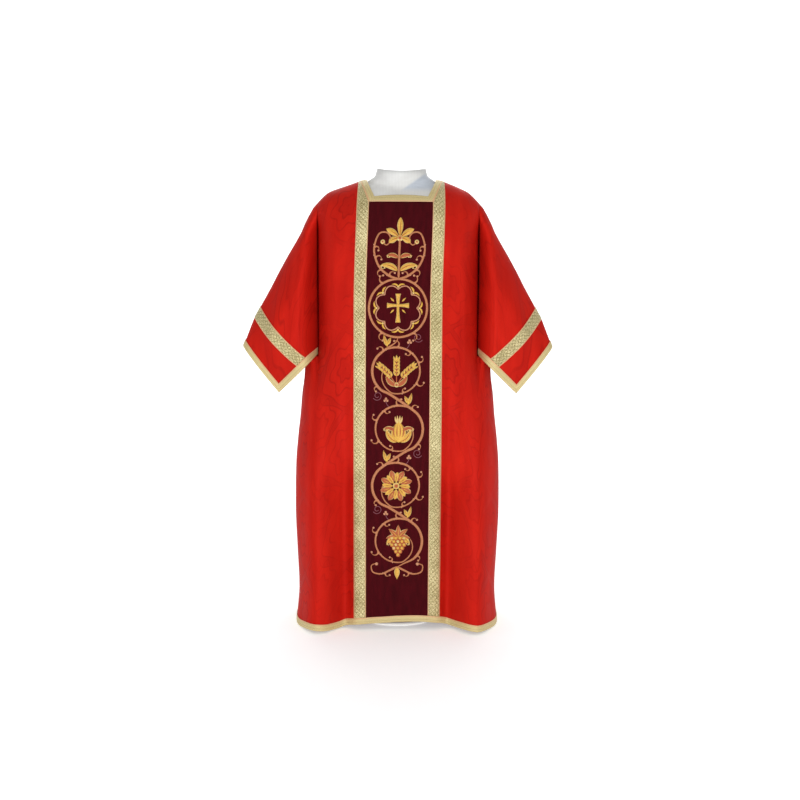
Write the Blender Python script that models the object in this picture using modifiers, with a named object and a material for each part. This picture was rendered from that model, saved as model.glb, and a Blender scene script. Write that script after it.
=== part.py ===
"""A dalmatic on a plain dress form, in metres, +Z up, its front facing -Y.

The origin lies on the stand's flat underside, straight below the middle of the neck. "Left" and
"right" are the wearer's own, so the left sleeve is at +X. The garment is a front and a back
panel, two wide sleeves that are open underneath, an orphrey panel with two galloon strips on
the front and on the back, a band round each sleeve, and a binding on every edge. The form is a
smooth torso with a neck and no limbs, carried by a pole on a low round base that the skirt hides.

Every sheet of cloth is an open surface, given as its OUTER face, with a Solidify modifier
that thickens it inward. What lies on a panel is made from that panel's points, moved out.
"""

import math
from collections import namedtuple

import bmesh
import bpy
from mathutils import Vector

# ---------------------------------------------------------------- driving dimensions

WALL = 0.0020            # cloth with its interlining
TRIM_WALL = 0.0010       # velvet, galloon and bands
BINDING_WALL = 0.0008    # the folded braid on the edges
LIFT = 0.0003            # air between a panel and what lies on it
EDGE_TRIM = 0.0002       # how far each trim stops short of its neighbour
SEAM_SET = 0.0006        # how far a panel's edge stays from its shoulder and side seams
ARMHOLE_GAP = 0.0006     # air between panel and sleeve along the armhole seam
BINDING_AIR = 0.0010     # air between a cloth edge and the braid folded over it
CORNER_EASE = 0.0020     # the braid's folds at a corner start this far from it
ARMPIT_START = 0.0040    # the bindings start this far from the armhole seam's lower end

SHOULDER_HEIGHT = 1.2285  # the garment's highest point, beside the neck
NECK_BAND_HEIGHT = 1.1677  # lower edge of the front neck binding
NECK_RISE = 0.0040       # how much the front neck edge arches up in the middle
UNDERARM_HEIGHT = 0.751  # upper edge of the body's sides
UNDERARM_DIP = 0.006     # how much lower that edge is at the side seam
ARMPIT_HEIGHT = 0.761    # lower end of the sleeve's seam
SEAM_X = 0.2200          # half the distance between the armhole seams
SHOULDER_DROP = 0.170    # height over which the shoulders round down into the front
BINDING_WIDTH = 0.0165   # hem, sleeve edges and underarm
SIDE_STEPS = 3           # columns from the armhole seam's line round to the side seam

CUFF_TOP = Vector((0.4286, 0.0, 0.7745))
CUFF_CORNER = Vector((0.3270, 0.0, 0.6495))
CUFF_DEPTH = 0.050       # half the cuff's opening from front to back
CUFF_ROUND = 0.70        # share of the cuff that rounds over from its top fold
SLEEVE_BULGE = 0.017     # how far the sleeve stands forward of the armhole seam
SLEEVE_BULGE_RUN = 0.050  # distance from that seam over which it comes forward
SLEEVE_BULGE_TOP = 0.35  # share of the way down a section over which it comes forward
SLEEVE_BULGE_END = 0.45  # share of the sleeve's length where it starts to flatten again
BAND_INNER = 0.118       # distance of the sleeve band's two edges from the cuff
BAND_OUTER = 0.085
CUFF_BINDING = 0.0145

FORM_SEAT = 0.0028       # the form's shoulder line lies this far below the cloth's outer ridge
FORM_EASE = 0.92         # the form's depth as a share of the cloth's, near the shoulders
BRAID_ROOM = 0.0022      # extra room under the neck binding
BRAID_ROOM_X = 0.1130    # how far out from the middle that room reaches
FORM_POWER = 2.3         # squareness of the torso's rings
FORM_STEPS = 32          # points round one ring of the form
RING_TIP = 0.001         # a ring's two end points lie in the middle plane
STAND_Y = 0.020          # the stand's axis lies a little behind the garment's middle plane
POLE_RADIUS = 0.016
POLE_FOOT = 0.0083       # the pole stands just above the base plate
POLE_TOP = 0.5952
BASE_RADIUS = 0.120
BASE_HEIGHT = 0.008
BASE_BEVEL = 0.003
COLLAR_RADIUS = 0.034    # the collar's foot, which tapers up to its top
COLLAR_TOP_RADIUS = 0.024
COLLAR_HEIGHT = 0.055
COLLAR_FOOT = 0.006      # height of its upright foot
COLLAR_SHOULDER = 0.012  # height where its long taper starts
COLLAR_TAPER = 0.028     # radius there
COLLAR_BEVEL = 0.002
ROUND_STEPS = 48
HALVINGS = 40            # steps of the search for a place along the sleeve

# Sections of the body: half width, depth of front and back from the middle plane, squareness.
BodyRow = namedtuple("BodyRow", "height half_width front back power")
BODY = (
    BodyRow(0.0080, 0.2825, 0.165, 0.158, 3.6),
    BodyRow(0.0320, 0.2806, 0.165, 0.158, 3.5),
    BodyRow(0.1025, 0.2755, 0.165, 0.157, 3.4),
    BodyRow(0.2080, 0.2802, 0.166, 0.155, 3.2),
    BodyRow(0.3125, 0.2848, 0.166, 0.153, 3.0),
    BodyRow(0.4507, 0.2833, 0.166, 0.150, 2.8),
    BodyRow(0.5190, 0.2780, 0.165, 0.148, 2.6),
    BodyRow(0.5870, 0.2705, 0.163, 0.146, 2.5),
    BodyRow(0.6440, 0.2656, 0.161, 0.144, 2.4),
    BodyRow(0.6890, 0.2597, 0.159, 0.142, 2.3),
    BodyRow(0.7510, 0.2570, 0.157, 0.140, 2.3),
    BodyRow(0.9500, 0.2570, 0.148, 0.134, 2.3),
    BodyRow(1.1000, 0.2570, 0.137, 0.126, 2.3),
    BodyRow(1.2285, 0.2570, 0.130, 0.120, 2.3),
)

# The shoulder line, from the neck out to the armhole seam.
RidgePoint = namedtuple("RidgePoint", "x height")
RIDGE = (
    RidgePoint(0.0000, 1.2285),
    RidgePoint(0.0960, 1.2275),
    RidgePoint(0.1176, 1.2232),
    RidgePoint(0.1326, 1.2178),
    RidgePoint(0.1614, 1.2070),
    RidgePoint(0.1901, 1.1950),
    RidgePoint(0.2024, 1.1854),
    RidgePoint(0.2120, 1.1760),
    RidgePoint(0.2200, 1.1670),
)

# Height of the hem, from the middle of the front out to the side seam.
HemPoint = namedtuple("HemPoint", "x height")
HEM = (
    HemPoint(0.000, 0.0280),
    HemPoint(0.118, 0.0250),
    HemPoint(0.165, 0.0180),
    HemPoint(0.215, 0.0110),
    HemPoint(0.250, 0.0090),
    HemPoint(0.282, 0.0080),
)

# Soft folds that hang in the skirt: a positive depth is a trough, a negative one a swelling.
# A sharpness of 2 is a soft bell, 4 has a flat bottom.
Fold = namedtuple("Fold", "side x width depth top sharpness")
FOLDS = (
    Fold(-1, 0.000, 0.135, 0.035, 0.780, 4),
    Fold(-1, 0.205, 0.045, -0.026, 0.620, 2),
    Fold(1, 0.000, 0.135, 0.012, 0.700, 4),
    Fold(1, 0.160, 0.030, 0.012, 0.480, 2),
    Fold(1, 0.212, 0.040, -0.018, 0.600, 2),
)

# Columns of a panel, half of them: x below the neck binding, and x on the shoulder line.
Column = namedtuple("Column", "name x ridge_x")
COLUMNS = (
    Column("centre", 0.000, 0.000),
    Column("velvet_middle", 0.034, 0.034),
    Column("neck_edge", 0.0662, 0.0966),
    Column("velvet_edge", 0.085, 0.1115),
    Column("galloon_edge", 0.118, 0.1165),
    Column("chest", 0.138, 0.138),
    Column("trough", 0.159, 0.159),
    Column("shoulder", 0.180, 0.180),
    Column("swelling", 0.201, 0.201),
    Column("armhole", SEAM_X, SEAM_X),
)

# Rows of a panel above the underarm, as shares of the way down from the shoulder line.
Row = namedtuple("Row", "name share")
UPPER_ROWS = (
    Row("ridge", 0.000),
    Row("crest", 0.002),
    Row("turn", 0.008),
    Row("slope", 0.018),
    Row("fall", 0.032),
    Row("back_neck", 0.060),
    Row("front_neck", 0.1003),
    Row("front_binding", 0.1273),
    Row("collarbone", 0.175),
    Row("yoke", 0.240),
    Row("upper_chest", 0.330),
    Row("chest", 0.440),
    Row("lower_chest", 0.560),
    Row("ribs", 0.690),
    Row("waist", 0.840),
    Row("underarm", 1.000),
)

# Rows below the underarm binding, as shares of the way down to the hem binding.
LOWER_ROWS = (
    Row("under_binding", 0.000),
    Row("hip_top", 0.090),
    Row("hip", 0.200),
    Row("thigh", 0.320),
    Row("thigh_low", 0.440),
    Row("knee_top", 0.560),
    Row("knee", 0.680),
    Row("shin", 0.800),
    Row("ankle", 0.910),
    Row("hem_binding", 1.000),
)

# Upper outline of a sleeve, from the armhole seam down to the cuff.
TopPoint = namedtuple("TopPoint", "x height")
SLEEVE_TOP = (
    TopPoint(0.2200, 1.1670),
    TopPoint(0.2327, 1.1529),
    TopPoint(0.2452, 1.1312),
    TopPoint(0.2564, 1.1094),
    TopPoint(0.2655, 1.0876),
    TopPoint(0.2775, 1.0658),
    TopPoint(0.3035, 1.0220),
    TopPoint(0.3280, 0.9781),
    TopPoint(0.3510, 0.9341),
    TopPoint(0.3757, 0.8899),
    TopPoint(0.4003, 0.8455),
    TopPoint(0.4180, 0.8010),
    TopPoint(0.4286, 0.7745),
)

# Sections of a sleeve: share of the way from the armhole to the band, then cuff distances.
FAN_SHARES = (0.0, 0.12, 0.30, 0.50, 0.75, 1.0)
CUFF_DISTANCES = (0.5 * (BAND_INNER + BAND_OUTER), BAND_OUTER, 0.050, CUFF_BINDING, 0.0)

# Places down one side of a sleeve, as shares of the way from its top fold to its lower binding.
SLEEVE_SHARES = (0.0, 0.010, 0.035, 0.080, 0.150, 0.240, 0.340, 0.450, 0.570, 0.700, 0.850, 1.0)

# Rings of the form. Each also holds the neck's own oval, which ends below the shoulders.
FormRing = namedtuple("FormRing", "height half_width half_depth neck_width neck_depth")
FORM_NECK = (
    FormRing(1.2400, 0.0710, 0.0575, 0.0710, 0.0575),
    FormRing(1.2350, 0.0760, 0.0580, 0.0760, 0.0580),
    FormRing(1.2305, 0.0830, 0.0585, 0.0830, 0.0585),
    FormRing(1.2262, 0.0895, 0.0590, 0.0895, 0.0590),
    FormRing(1.2236, 0.0925, 0.0590, 0.0910, 0.0590),
    FormRing(1.2218, 0.0985, 0.0590, 0.0915, 0.0590),
    FormRing(1.2190, 0.1135, 0.0600, 0.0915, 0.0590),
)
# Rings whose tips follow the garment's shoulder line; their heights come from that line.
ShoulderRing = namedtuple("ShoulderRing", "half_width half_depth neck_width neck_depth")
FORM_SHOULDERS = (
    ShoulderRing(0.1380, 0.0640, 0.0940, 0.0590),
    ShoulderRing(0.1590, 0.0680, 0.0940, 0.0590),
    ShoulderRing(0.1800, 0.0740, 0.0940, 0.0590),
)
FORM_TORSO = (
    FormRing(1.1850, 0.1920, 0.0800, 0.0, 0.0),
    FormRing(1.1600, 0.1990, 0.0900, 0.0, 0.0),
    FormRing(1.1100, 0.1990, 0.1020, 0.0, 0.0),
    FormRing(1.0400, 0.1890, 0.1100, 0.0, 0.0),
    FormRing(0.9600, 0.1740, 0.1100, 0.0, 0.0),
    FormRing(0.8800, 0.1620, 0.1050, 0.0, 0.0),
    FormRing(0.8100, 0.1580, 0.1040, 0.0, 0.0),
    FormRing(0.7300, 0.1670, 0.1110, 0.0, 0.0),
    FormRing(0.6500, 0.1740, 0.1170, 0.0, 0.0),
    FormRing(0.6120, 0.1710, 0.1140, 0.0, 0.0),
    FormRing(0.5985, 0.1610, 0.1050, 0.0, 0.0),
    FormRing(0.5955, 0.1450, 0.0900, 0.0, 0.0),
)
NECK_TOP = 1.2585        # highest points of the neck, at its two sides
NECK_TOP_WIDTH = 0.0665
NECK_TOP_DEPTH = 0.0560
NECK_DIP = 0.0070        # the neck's rim is lower by this at the front and the back
NECK_CAP_DROP = 0.0080   # the cap lies this far below the rim's highest points
NECK_CAP_SHARE = 0.88    # the cap's size as a share of the rim's

FRONT = -1
BACK = 1
LEFT = 1
RIGHT = -1

UP = Vector((0.0, 0.0, 1.0))


# ---------------------------------------------------------------- small helpers

def curve_value(places, values, at):
    """A smooth curve through the given values, flat beyond its two ends."""
    if at <= places[0]:
        return values[0]
    if at >= places[-1]:
        return values[-1]
    index = 0
    while places[index + 1] < at:
        index += 1
    before = max(index - 1, 0)
    after = min(index + 2, len(places) - 1)
    step = places[index + 1] - places[index]
    slope_in = (values[index + 1] - values[before]) / (places[index + 1] - places[before])
    slope_out = (values[after] - values[index]) / (places[after] - places[index])
    t = (at - places[index]) / step
    hold_start = 2.0 * t ** 3 - 3.0 * t ** 2 + 1.0
    hold_end = 3.0 * t ** 2 - 2.0 * t ** 3
    lean_start = t ** 3 - 2.0 * t ** 2 + t
    lean_end = t ** 3 - t ** 2
    held = hold_start * values[index] + hold_end * values[index + 1]
    return held + step * (lean_start * slope_in + lean_end * slope_out)


def column_of(table, key, value, at):
    """Read one column of a table of named rows at a place between its rows."""
    places = [getattr(row, key) for row in table]
    values = [getattr(row, value) for row in table]
    return curve_value(places, values, at)


def smooth_step(share):
    """Ease from 0 to 1."""
    share = min(max(share, 0.0), 1.0)
    return share * share * (3.0 - 2.0 * share)


def mix(first, second, share):
    """The value or point that lies a share of the way from first to second."""
    return first + (second - first) * share


def quarter_round(share):
    """Height of a quarter circle that starts upright at 0 and is level from 1 on."""
    share = min(max(share, 0.0), 1.0)
    return math.sqrt(1.0 - (1.0 - share) ** 2)


# ---------------------------------------------------------------- the body's form

def ridge_height(x):
    """Height of the shoulder line at a distance from the middle."""
    return column_of(RIDGE, "x", "height", abs(x))


def fold_depth(side, x, height):
    """How far the skirt's soft folds push the cloth back at a place."""
    depth = 0.0
    for fold in FOLDS:
        if fold.side != side:
            continue
        fade = smooth_step((fold.top - height) / fold.top)
        away = abs(abs(x) - fold.x) / fold.width
        depth += fold.depth * fade * math.exp(-away ** fold.sharpness)
    return depth


def cloth_depth(side, x, height):
    """Distance of the cloth's outer face from the middle plane, without its folds."""
    width = column_of(BODY, "height", "half_width", height)
    depth = column_of(BODY, "height", "front" if side == FRONT else "back", height)
    power = column_of(BODY, "height", "power", height)
    across = max(0.0, 1.0 - (abs(x) / width) ** power) ** (1.0 / power)
    return depth * across * quarter_round((ridge_height(x) - height) / SHOULDER_DROP)


def body_point(side, x, height):
    """A point of the panel between the armhole seams."""
    depth = cloth_depth(side, x, height) - fold_depth(side, x, height)
    return Vector((x, side * (depth + SEAM_SET), height))


def side_point(side, hand, share, height):
    """A point of the panel between the armhole seam's line and the side seam."""
    width = column_of(BODY, "height", "half_width", height)
    depth = column_of(BODY, "height", "front" if side == FRONT else "back", height)
    power = column_of(BODY, "height", "power", height)
    start = math.acos((SEAM_X / width) ** (power / 2.0))
    angle = start * (1.0 - share)
    x = width * math.cos(angle) ** (2.0 / power)
    out = depth * math.sin(angle) ** (2.0 / power)
    out -= fold_depth(side, x, height) * (1.0 - share)
    return Vector((hand * x, side * (out + SEAM_SET), height))


def column_x(column, height):
    """x of a panel's column, which slides out along the neck's slanting edge."""
    rise = (height - NECK_BAND_HEIGHT) / (SHOULDER_HEIGHT - NECK_BAND_HEIGHT)
    return mix(column.x, column.ridge_x, min(max(rise, 0.0), 1.0))


def panel_grid(side):
    """Points of one body panel, keyed by row and column."""
    grid = {}
    names = [column.name for column in COLUMNS]
    neck_column = names.index("neck_edge")
    row_names = [row.name for row in UPPER_ROWS]
    neck_row = row_names.index("front_neck" if side == FRONT else "back_neck")
    last = len(COLUMNS) - 1
    underarm = len(UPPER_ROWS) - 1
    for index, row in enumerate(UPPER_ROWS):
        middle = mix(SHOULDER_HEIGHT, UNDERARM_HEIGHT, row.share)
        for number in range(-last, last + 1):
            if index < neck_row and abs(number) < neck_column:
                continue
            x = math.copysign(column_x(COLUMNS[abs(number)], middle), number)
            height = mix(ridge_height(x), UNDERARM_HEIGHT, row.share)
            if index == neck_row and side == FRONT and abs(number) < neck_column:
                neck_x = column_x(COLUMNS[neck_column], middle)
                height += NECK_RISE * (1.0 - (x / neck_x) ** 2)
            grid[index, number] = body_point(side, x, height)
    for hand in (LEFT, RIGHT):
        for step in range(1, SIDE_STEPS + 1):
            share = step / SIDE_STEPS
            height = UNDERARM_HEIGHT - UNDERARM_DIP * share
            grid[underarm, hand * (last + step)] = side_point(side, hand, share, height)
    for index, row in enumerate(LOWER_ROWS):
        for number in range(-last - SIDE_STEPS, last + SIDE_STEPS + 1):
            hand = LEFT if number > 0 else RIGHT
            share = max(0, abs(number) - last) / SIDE_STEPS
            x = COLUMNS[min(abs(number), last)].x
            low = column_of(HEM, "x", "height", mix(x, HEM[-1].x, share)) + BINDING_WIDTH
            top = UNDERARM_HEIGHT - UNDERARM_DIP * share - BINDING_WIDTH
            height = mix(top, low, row.share)
            key = (underarm + 1 + index, number)
            if share > 0.0:
                grid[key] = side_point(side, hand, share, height)
            else:
                grid[key] = body_point(side, hand * x, height)
    hem_row = underarm + 1 + len(LOWER_ROWS)
    for number in range(-last - SIDE_STEPS, last + SIDE_STEPS + 1):
        above = grid[hem_row - 1, number]
        hand = LEFT if number > 0 else RIGHT
        share = max(0, abs(number) - last) / SIDE_STEPS
        height = above.z - BINDING_WIDTH
        if share > 0.0:
            grid[hem_row, number] = side_point(side, hand, share, height)
        else:
            grid[hem_row, number] = body_point(side, above.x, height)
    return grid


# ---------------------------------------------------------------- the sleeves' form

def top_line(distance):
    """Point of a sleeve's upper outline at a distance along it from the armhole seam."""
    points = [Vector((point.x, 0.0, point.height)) for point in SLEEVE_TOP]
    for first, second in zip(points, points[1:]):
        length = (second - first).length
        if distance <= length:
            return mix(first, second, distance / length)
        distance -= length
    return points[-1].copy()


def top_length():
    """Length of a sleeve's upper outline."""
    points = [Vector((point.x, 0.0, point.height)) for point in SLEEVE_TOP]
    return sum((second - first).length for first, second in zip(points, points[1:]))


def cuff_distance(point):
    """How far a point lies from the cuff's line, seen from the front."""
    along = (CUFF_CORNER - CUFF_TOP).normalized()
    inward = Vector((along.z, 0.0, -along.x))
    return (point - CUFF_TOP).dot(inward)


def top_at_cuff_distance(wanted):
    """Distance along the upper outline where the cuff's line is the wanted distance away."""
    near = 0.0
    far = top_length()
    for _ in range(HALVINGS):
        middle = 0.5 * (near + far)
        if cuff_distance(top_line(middle)) > wanted:
            near = middle
        else:
            far = middle
    return 0.5 * (near + far)


def low_at_cuff_distance(wanted):
    """Point of the lower outline that lies the wanted distance from the cuff's line."""
    armpit = Vector((SEAM_X, 0.0, ARMPIT_HEIGHT))
    full = cuff_distance(armpit)
    return mix(CUFF_CORNER, armpit, wanted / full)


def sleeve_sections():
    """Upper and lower end of each section of a sleeve, and how far along both lines they are."""
    sections = []
    whole = top_length()
    armpit = Vector((SEAM_X, 0.0, ARMPIT_HEIGHT))
    band_top = top_at_cuff_distance(BAND_INNER)
    band_low = low_at_cuff_distance(BAND_INNER)
    for share in FAN_SHARES:
        along = band_top * share
        sections.append((top_line(along), mix(armpit, band_low, share), along / whole))
    for distance in CUFF_DISTANCES:
        along = top_at_cuff_distance(distance)
        sections.append((top_line(along), low_at_cuff_distance(distance), along / whole))
    low_length = (CUFF_CORNER - armpit).length
    return [
        (top, low, reach, (low - armpit).length / low_length)
        for top, low, reach in sections
    ]


def sleeve_depth(side, point, reach, share):
    """Distance of a sleeve's outer face from the middle plane."""
    arm_height = mix(SLEEVE_TOP[0].height, ARMPIT_HEIGHT, share)
    at_armhole = cloth_depth(side, SEAM_X, arm_height)
    at_cuff = CUFF_DEPTH * quarter_round(share / CUFF_ROUND)
    rise = math.sin(0.5 * math.pi * min(1.0, (point.x - SEAM_X) / SLEEVE_BULGE_RUN))
    fall = 1.0 - smooth_step((reach - SLEEVE_BULGE_END) / (1.0 - SLEEVE_BULGE_END))
    swell = rise * fall * smooth_step(share / SLEEVE_BULGE_TOP)
    return mix(at_armhole, at_cuff, smooth_step(reach)) + SLEEVE_BULGE * swell


def sleeve_grid(hand):
    """Points of one sleeve, from its front lower edge over the top to its back lower edge."""
    grid = {}
    for number, (top, low, top_reach, low_reach) in enumerate(sleeve_sections()):
        length = (low - top).length
        bound = 1.0 - BINDING_WIDTH / length
        shares = [share * bound for share in SLEEVE_SHARES] + [1.0]
        for place, share in enumerate(shares):
            point = mix(top, low, share)
            reach = mix(top_reach, low_reach, share)
            for side in (FRONT, BACK):
                depth = sleeve_depth(side, point, reach, share)
                x = hand * (point.x + ARMHOLE_GAP * (1.0 - reach))
                grid[side * place, number] = Vector((x, side * depth, point.z))
    return grid


# ---------------------------------------------------------------- meshes from grids

def new_material(name, colour, roughness, metallic):
    """A plain Principled material."""
    material = bpy.data.materials.new(name)
    material.use_nodes = True
    shader = material.node_tree.nodes["Principled BSDF"]
    shader.inputs["Base Color"].default_value = (*colour, 1.0)
    shader.inputs["Roughness"].default_value = roughness
    shader.inputs["Metallic"].default_value = metallic
    return material


def mesh_object(name, points, faces, collection, material):
    """An object from points and faces, shaded smooth."""
    mesh = bpy.data.meshes.new(name)
    mesh.from_pydata([tuple(point) for point in points], [], faces)
    mesh.update()
    mesh.shade_smooth()
    mesh.materials.append(material)
    item = bpy.data.objects.new(name, mesh)
    collection.objects.link(item)
    return item


def flip_faces(item):
    """Turn all of an open surface's faces over."""
    mesh = bmesh.new()
    mesh.from_mesh(item.data)
    bmesh.ops.reverse_faces(mesh, faces=mesh.faces[:])
    mesh.to_mesh(item.data)
    mesh.free()
    item.data.update()


def grid_object(name, grid, collection, material, outward, wrap=0):
    """An open surface over a grid of points; its faces look along outward at its first face.

    The rows of a grid with wrap join up again after that many rows.
    """
    keys = sorted(grid)
    places = {key: index for index, key in enumerate(keys)}
    faces = []
    for row, column in keys:
        below = (row + 1) % wrap if wrap else row + 1
        corners = ((row, column), (below, column), (below, column + 1), (row, column + 1))
        if all(corner in places for corner in corners):
            faces.append([places[corner] for corner in corners])
    item = mesh_object(name, [grid[key] for key in keys], faces, collection, material)
    if item.data.polygons[0].normal.dot(outward) < 0.0:
        flip_faces(item)
    normals = {key: item.data.vertices[index].normal.copy() for key, index in places.items()}
    return item, normals


def thicken(item, wall, offset=-1.0):
    """Give an open surface its wall: inward at offset -1, outward at offset 1."""
    solidify = item.modifiers.new("Wall", "SOLIDIFY")
    solidify.thickness = wall
    solidify.offset = offset
    solidify.use_even_offset = True
    solidify.use_rim = True


def strip_object(name, grid, normals, rows, columns, collection, material):
    """A trim that lies on a panel: the panel's points moved out, a little short all round."""
    strip = {}
    for row in rows:
        for column in columns:
            point = grid[row, column] + normals[row, column] * (LIFT + TRIM_WALL)
            strip[row - rows[0], column - columns[0]] = point
    trimmed = {}
    last_row = len(rows) - 1
    last_column = len(columns) - 1
    for (row, column), point in strip.items():
        moved = point.copy()
        if row in (0, last_row):
            inner = strip[abs(row - 1), column]
            moved += (inner - point).normalized() * EDGE_TRIM
        if column in (0, last_column):
            inner = strip[row, abs(column - 1)]
            moved += (inner - point).normalized() * EDGE_TRIM
        trimmed[row, column] = moved
    item, _ = grid_object(name, trimmed, collection, material, normals[rows[0], columns[0]])
    thicken(item, TRIM_WALL)
    return item


# A place along a bound edge: a point on the edge, one at the binding's far side, and normals.
Stitch = namedtuple("Stitch", "edge inner edge_normal inner_normal")


def binding_object(name, stitches, closed, collection, material):
    """A braid folded over an edge, from its places along that edge."""
    under = WALL + BINDING_AIR
    grid = {}
    for index, stitch in enumerate(stitches):
        outward = (stitch.edge - stitch.inner).normalized() * BINDING_AIR
        grid[index, 0] = stitch.inner + stitch.inner_normal * BINDING_AIR
        grid[index, 1] = stitch.edge + outward + stitch.edge_normal * BINDING_AIR
        grid[index, 2] = stitch.edge + outward - stitch.edge_normal * under
        grid[index, 3] = stitch.inner - stitch.inner_normal * under
    wrap = len(stitches) if closed else 0
    outward = stitches[0].inner_normal
    item, _ = grid_object(name, grid, collection, material, outward, wrap)
    thicken(item, BINDING_WALL, 1.0)
    return item


def stitches_along(grid, normals, pairs):
    """Places along a bound edge from pairs of grid keys, edge first."""
    return [
        Stitch(grid[edge], grid[inner], normals[edge], normals[inner])
        for edge, inner in pairs
    ]


def eased(stitches, field):
    """The same places with the last one's edge or inner point drawn back from a corner."""
    last = stitches[-1]
    point = getattr(last, field)
    back = (getattr(stitches[-2], field) - point).normalized() * CORNER_EASE
    return stitches[:-1] + [last._replace(**{field: point + back})]


def eased_both(stitches, field):
    """The same places with both ends' edge or inner points drawn back from their corners."""
    return eased(eased(stitches, field)[::-1], field)[::-1]


def shortened(stitches, distance):
    """The same places with the first one moved along the edge by a distance."""
    first = stitches[0]
    second = stitches[1]
    share = distance / (second.edge - first.edge).length
    moved = Stitch(*(mix(one, other, share) for one, other in zip(first, second)))
    return [moved] + stitches[1:]


# ---------------------------------------------------------------- the garment

def column_number(name):
    """Number of a named column, counted from the centre."""
    return [column.name for column in COLUMNS].index(name)


def row_number(name):
    """Number of a named row of a panel, counted from the shoulder line."""
    names = [row.name for row in UPPER_ROWS] + [row.name for row in LOWER_ROWS] + ["hem"]
    return names.index(name)


def make_panel(side, collection, material):
    """Front or back: one piece from armhole to armhole and down round the sides."""
    name = "front_panel" if side == FRONT else "back_panel"
    grid = panel_grid(side)
    outward = Vector((0.0, side, 0.0))
    item, normals = grid_object(name, grid, collection, material, outward + UP)
    thicken(item, WALL)
    return grid, normals


def make_orphrey(side, panel, collection, velvet, braid):
    """The velvet panel down the middle and the galloon strip along each of its edges."""
    grid, normals = panel
    place = "front" if side == FRONT else "back"
    velvet_edge = column_number("velvet_edge")
    galloon_edge = column_number("galloon_edge")
    top = row_number("front_binding") if side == FRONT else row_number("front_neck")
    rows = range(top, row_number("hem_binding") + 1)
    columns = range(-velvet_edge, velvet_edge + 1)
    strip_object("orphrey_" + place, grid, normals, rows, columns, collection, velvet)
    long_rows = range(row_number("ridge"), row_number("hem_binding") + 1)
    for hand, word in ((LEFT, "left"), (RIGHT, "right")):
        edges = sorted((hand * velvet_edge, hand * galloon_edge))
        name = "galloon_" + place + "_" + word
        columns = range(edges[0], edges[1] + 1)
        strip_object(name, grid, normals, long_rows, columns, collection, braid)


def make_neck_binding(panels, collection, material):
    """The braid round the neck opening, over the front, both shoulders and the back."""
    neck = column_number("neck_edge")
    far = column_number("velvet_edge")
    stitches = []
    for side in (FRONT, BACK):
        grid, normals = panels[side]
        neck_row = row_number("front_neck" if side == FRONT else "back_neck")
        down = [((row, -neck), (row, -far)) for row in range(neck_row + 1)]
        corner = [((neck_row, -neck), (neck_row + 1, -far))]
        across = [((neck_row, x), (neck_row + 1, x)) for x in range(-neck, neck + 1)]
        far_corner = [((neck_row, neck), (neck_row + 1, far))]
        up = [((row, neck), (row, far)) for row in reversed(range(neck_row + 1))]
        down = stitches_along(grid, normals, down)
        across = stitches_along(grid, normals, across)
        up = stitches_along(grid, normals, up)
        places = [
            *eased(down, "edge"),
            *stitches_along(grid, normals, corner),
            *eased_both(across, "edge"),
            *stitches_along(grid, normals, far_corner),
            *eased(up[::-1], "edge")[::-1],
        ]
        stitches += places if side == FRONT else places[::-1]
    binding_object("neck_binding", stitches, True, collection, material)


def make_hem_binding(panels, collection, material):
    """The braid round the whole hem."""
    last = len(COLUMNS) - 1 + SIDE_STEPS
    stitches = []
    for side in (FRONT, BACK):
        hem = row_number("hem")
        pairs = [((hem, number), (hem - 1, number)) for number in range(-last, last + 1)]
        places = stitches_along(*panels[side], pairs)
        stitches += places if side == FRONT else places[::-1]
    binding_object("hem_binding", stitches, True, collection, material)


def make_underarm_binding(hand, word, panels, collection, material):
    """The strip of the same cloth over the side's upper edge, under the arm from front to back."""
    last = len(COLUMNS) - 1
    row = row_number("underarm")
    stitches = []
    for side in (FRONT, BACK):
        numbers = [hand * number for number in range(last, last + SIDE_STEPS + 1)]
        pairs = [((row, number), (row + 1, number)) for number in numbers]
        places = shortened(stitches_along(*panels[side], pairs), ARMPIT_START)
        stitches += places if side == FRONT else places[::-1]
    binding_object("underarm_binding_" + word, stitches, False, collection, material)


def make_sleeve(hand, word, collection, cloth, braid):
    """One sleeve with its band and with its braid along the lower edges and the cuff."""
    grid = sleeve_grid(hand)
    first_look = Vector((0.0, FRONT, 0.0))
    item, normals = grid_object("sleeve_" + word, grid, collection, cloth, first_look)
    thicken(item, WALL)

    edge = len(SLEEVE_SHARES)
    cuff = len(FAN_SHARES) + len(CUFF_DISTANCES) - 1
    band_inner = len(FAN_SHARES) - 1
    rows = range(-edge + 1, edge)
    columns = range(band_inner, band_inner + 3)
    strip_object("sleeve_band_" + word, grid, normals, rows, columns, collection, braid)

    front = [((-edge, number), (-edge + 1, number)) for number in range(cuff)]
    around = [((row, cuff), (row, cuff - 1)) for row in range(-edge + 1, edge)]
    back = [((edge, number), (edge - 1, number)) for number in range(cuff)]
    front = stitches_along(grid, normals, front)
    around = stitches_along(grid, normals, around)
    back = stitches_along(grid, normals, back)
    stitches = [
        *eased(shortened(front, ARMPIT_START), "inner"),
        *stitches_along(grid, normals, [((-edge, cuff), (-edge + 1, cuff - 1))]),
        *eased_both(around, "inner"),
        *stitches_along(grid, normals, [((edge, cuff), (edge - 1, cuff - 1))]),
        *eased(shortened(back, ARMPIT_START), "inner")[::-1],
    ]
    binding_object("sleeve_binding_" + word, stitches, False, collection, braid)


# ---------------------------------------------------------------- the form and its stand

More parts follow.
